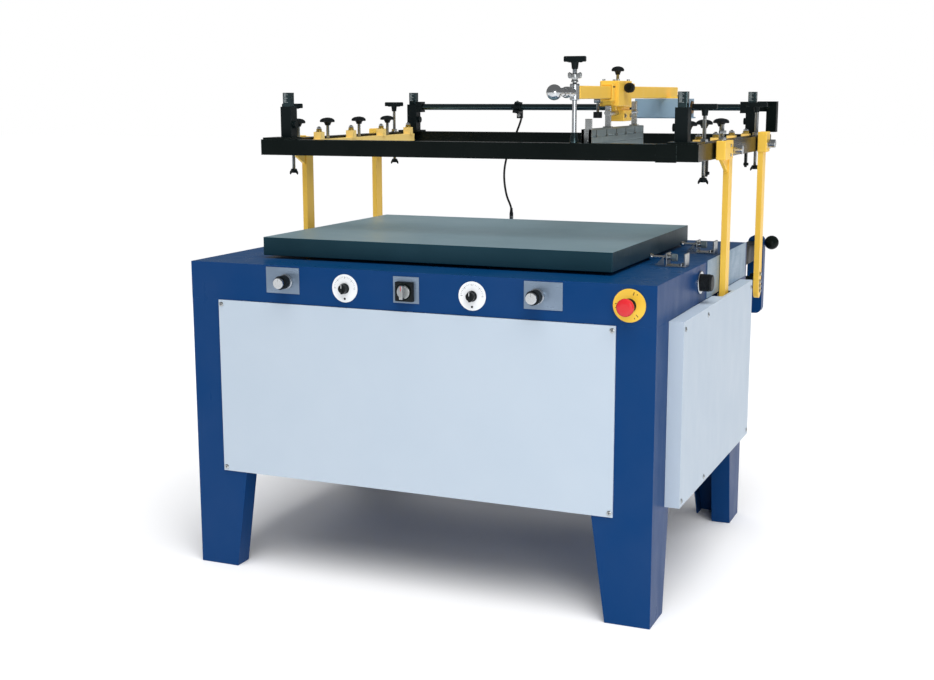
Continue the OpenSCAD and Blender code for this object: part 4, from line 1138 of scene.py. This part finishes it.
def holder_section(half, low, top):
    """Extruded channel: blade slot below, two grooves along each side and chamfered shoulders."""
    blade, roof, depth = 0.0052, low + 0.0162, 0.0014
    right = [(blade, roof), (blade, low), (half, low)]
    groove = ((0, -0.002), (-depth, -0.0008), (-depth, 0.0008), (0, 0.002))
    for z in (low + 0.0175, low + 0.034):
        right += [(half + a, z + b) for a, b in groove]
    return mirrored(right + [(half, top - 0.003), (half - 0.003, top)])


def make_holder():
    """Holder with end plates, front plate, clamp screws in slots, and lugs on the tilt pin."""
    lo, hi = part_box("squeegee_holder")
    tilt = PIVOT["head_tilt"]
    x, half, low, top = tilt.x, 0.014, lo.z, lo.z + 0.054
    end, inset = 0.0035, 0.003
    piece = Piece("holder_extrusion")
    section = holder_section(half, low, top)
    piece.prism(section, (x, lo.y + inset, 0), Y, hi.y - lo.y - 2 * inset, "alloy", 0.0004, Z, 1)
    for a in (lo.y, hi.y - end):
        for sign in (-1, 1):
            corner = (x + sign * 0.0056, a, low)
            piece.box(corner, (x + sign * half, a + end, top - 0.0005), "zinc", 0.0007)
        piece.across(X * x, half, (a, a + end), (low + 0.0165, top - 0.0005), "zinc", 0.0007)
    piece.box((x - 0.004, lo.y, top - 0.002), (x + half, lo.y + 0.006, top + 0.026), "zinc", 0.0012, 3)
    for z in (low + 0.024, low + 0.046):
        piece.socket_screw((x, lo.y, z), OUT, 0.0075, 0.004, "zinc")
    first, pitch, slots = 0.041, 0.0885, 5
    for k in range(slots):
        for sign in (-1, 1):
            at = Vector((x + sign * (half - 0.0001), lo.y + first + k * pitch, top - 0.0125))
            # Painted shade: a thin black sheet on the side stands for the shaded opening of the screw's
            # slot.
            piece.across(at + X * sign * 0.00015, 0.00015, (-0.0022, 0.0022), (-0.0045, 0.0095), "print_and_painted_shade", 0)
            piece.hex_bolt(at - Z * 0.0065, X * sign, 0.0062, 0.0026)
    pin_y, pin_l, lug_t = tilt.y - 0.123, 0.265, 0.007
    for a, height in ((pin_y + 0.004, tilt.z + 0.02), (pin_y + pin_l - 0.011, tilt.z + 0.03)):
        piece.across(X * x, 0.008, (a, a + lug_t), (top - 0.002, height), "zinc", 0.0014, 3)
        span = (a - 0.004, a + lug_t + 0.004)
        piece.across(X * x, 0.0125, span, (top - 0.001, top + 0.003), "zinc", 0.001)
    piece.rod((x, pin_y, tilt.z), Y, pin_l, 0.0138, "steel")
    for y in (pin_y - 0.0002, pin_y + pin_l - 0.0036):
        piece.nut((x, y, tilt.z), Y, 0.0175, 0.0038, "zinc")
    piece.done("holder", "alloy", "squeegee_holder")


# ---- Whole machine ----

# Material, edge radius and names of the CAD nodes whose own shape is kept
KEPT = (
    ("blue", 0.0025, "housing"),
    ("blue", 0.0022, "leg_front_left", "leg_front_right", "leg_rear_left", "leg_rear_right"),
    ("blue", 0.002, "rear_pillars"),
    ("pale", 0.0012, "front_panel", "rear_panel"),
    ("pale", 0.0018, "left_cover", "right_cover"),
    ("deck", 0.0006, "deck"),
    ("plate", 0.0006, "side_plates"),
    ("dark_plate", 0.0004, "control_plates"),
    ("table", 0.0016, "table_top"),
    ("zinc", 0.0006, "front_bearings"),
    ("iron", 0.0018, "shaft_bearings"),
    ("cast_alloy", 0.002, "vacuum_blower"),
    ("alloy", 0.0012, "lift_cylinder"),
    ("steel", 0.0008, "cylinder_rod"),
    ("steel", 0.001, "pivot_pins"),
    ("bronze", 0.0006, "rail_bushes"),
    ("dark_steel", 0.001, "table_cradle", "post_tubes"),
    ("dark_steel", 0.0006, "squeegee_rail"),
    ("satin_black", 0.0008, "torsion_shaft", "support_straps"),
    ("satin_black", 0.0015, "pillar_brackets"),
    ("satin_black", 0.0016, "corner_sleeves"),
    ("gloss_black", 0.0016, "carrier_frame"),
    ("gloss_black", 0.002, "rail_bracket"),
    ("cream", 0.0014, "clamp_bar_left", "clamp_bar_right"),
    ("carriage", 0.0022, "carriage"),
    ("blade", 0.0008, "squeegee_blade"),
)

make_camera()
make_lead()
make_studio()
make_floor()
for finish, edge_radius, *names in KEPT:
    for kept_name in names:
        keep(kept_name, finish, edge_radius)
make_screws()
make_legends()
for side in SIDES:
    make_front_knobs(side)
make_collars()
make_regulator()
make_switch()
make_stop_button()
make_ball_knobs()
make_register()
make_arms()
make_clamp_knobs()
make_frame_screws()
make_post_scales()
make_block_nuts()
make_stroke_stop()
make_arm()
make_height_screw()
make_head()
make_holder()
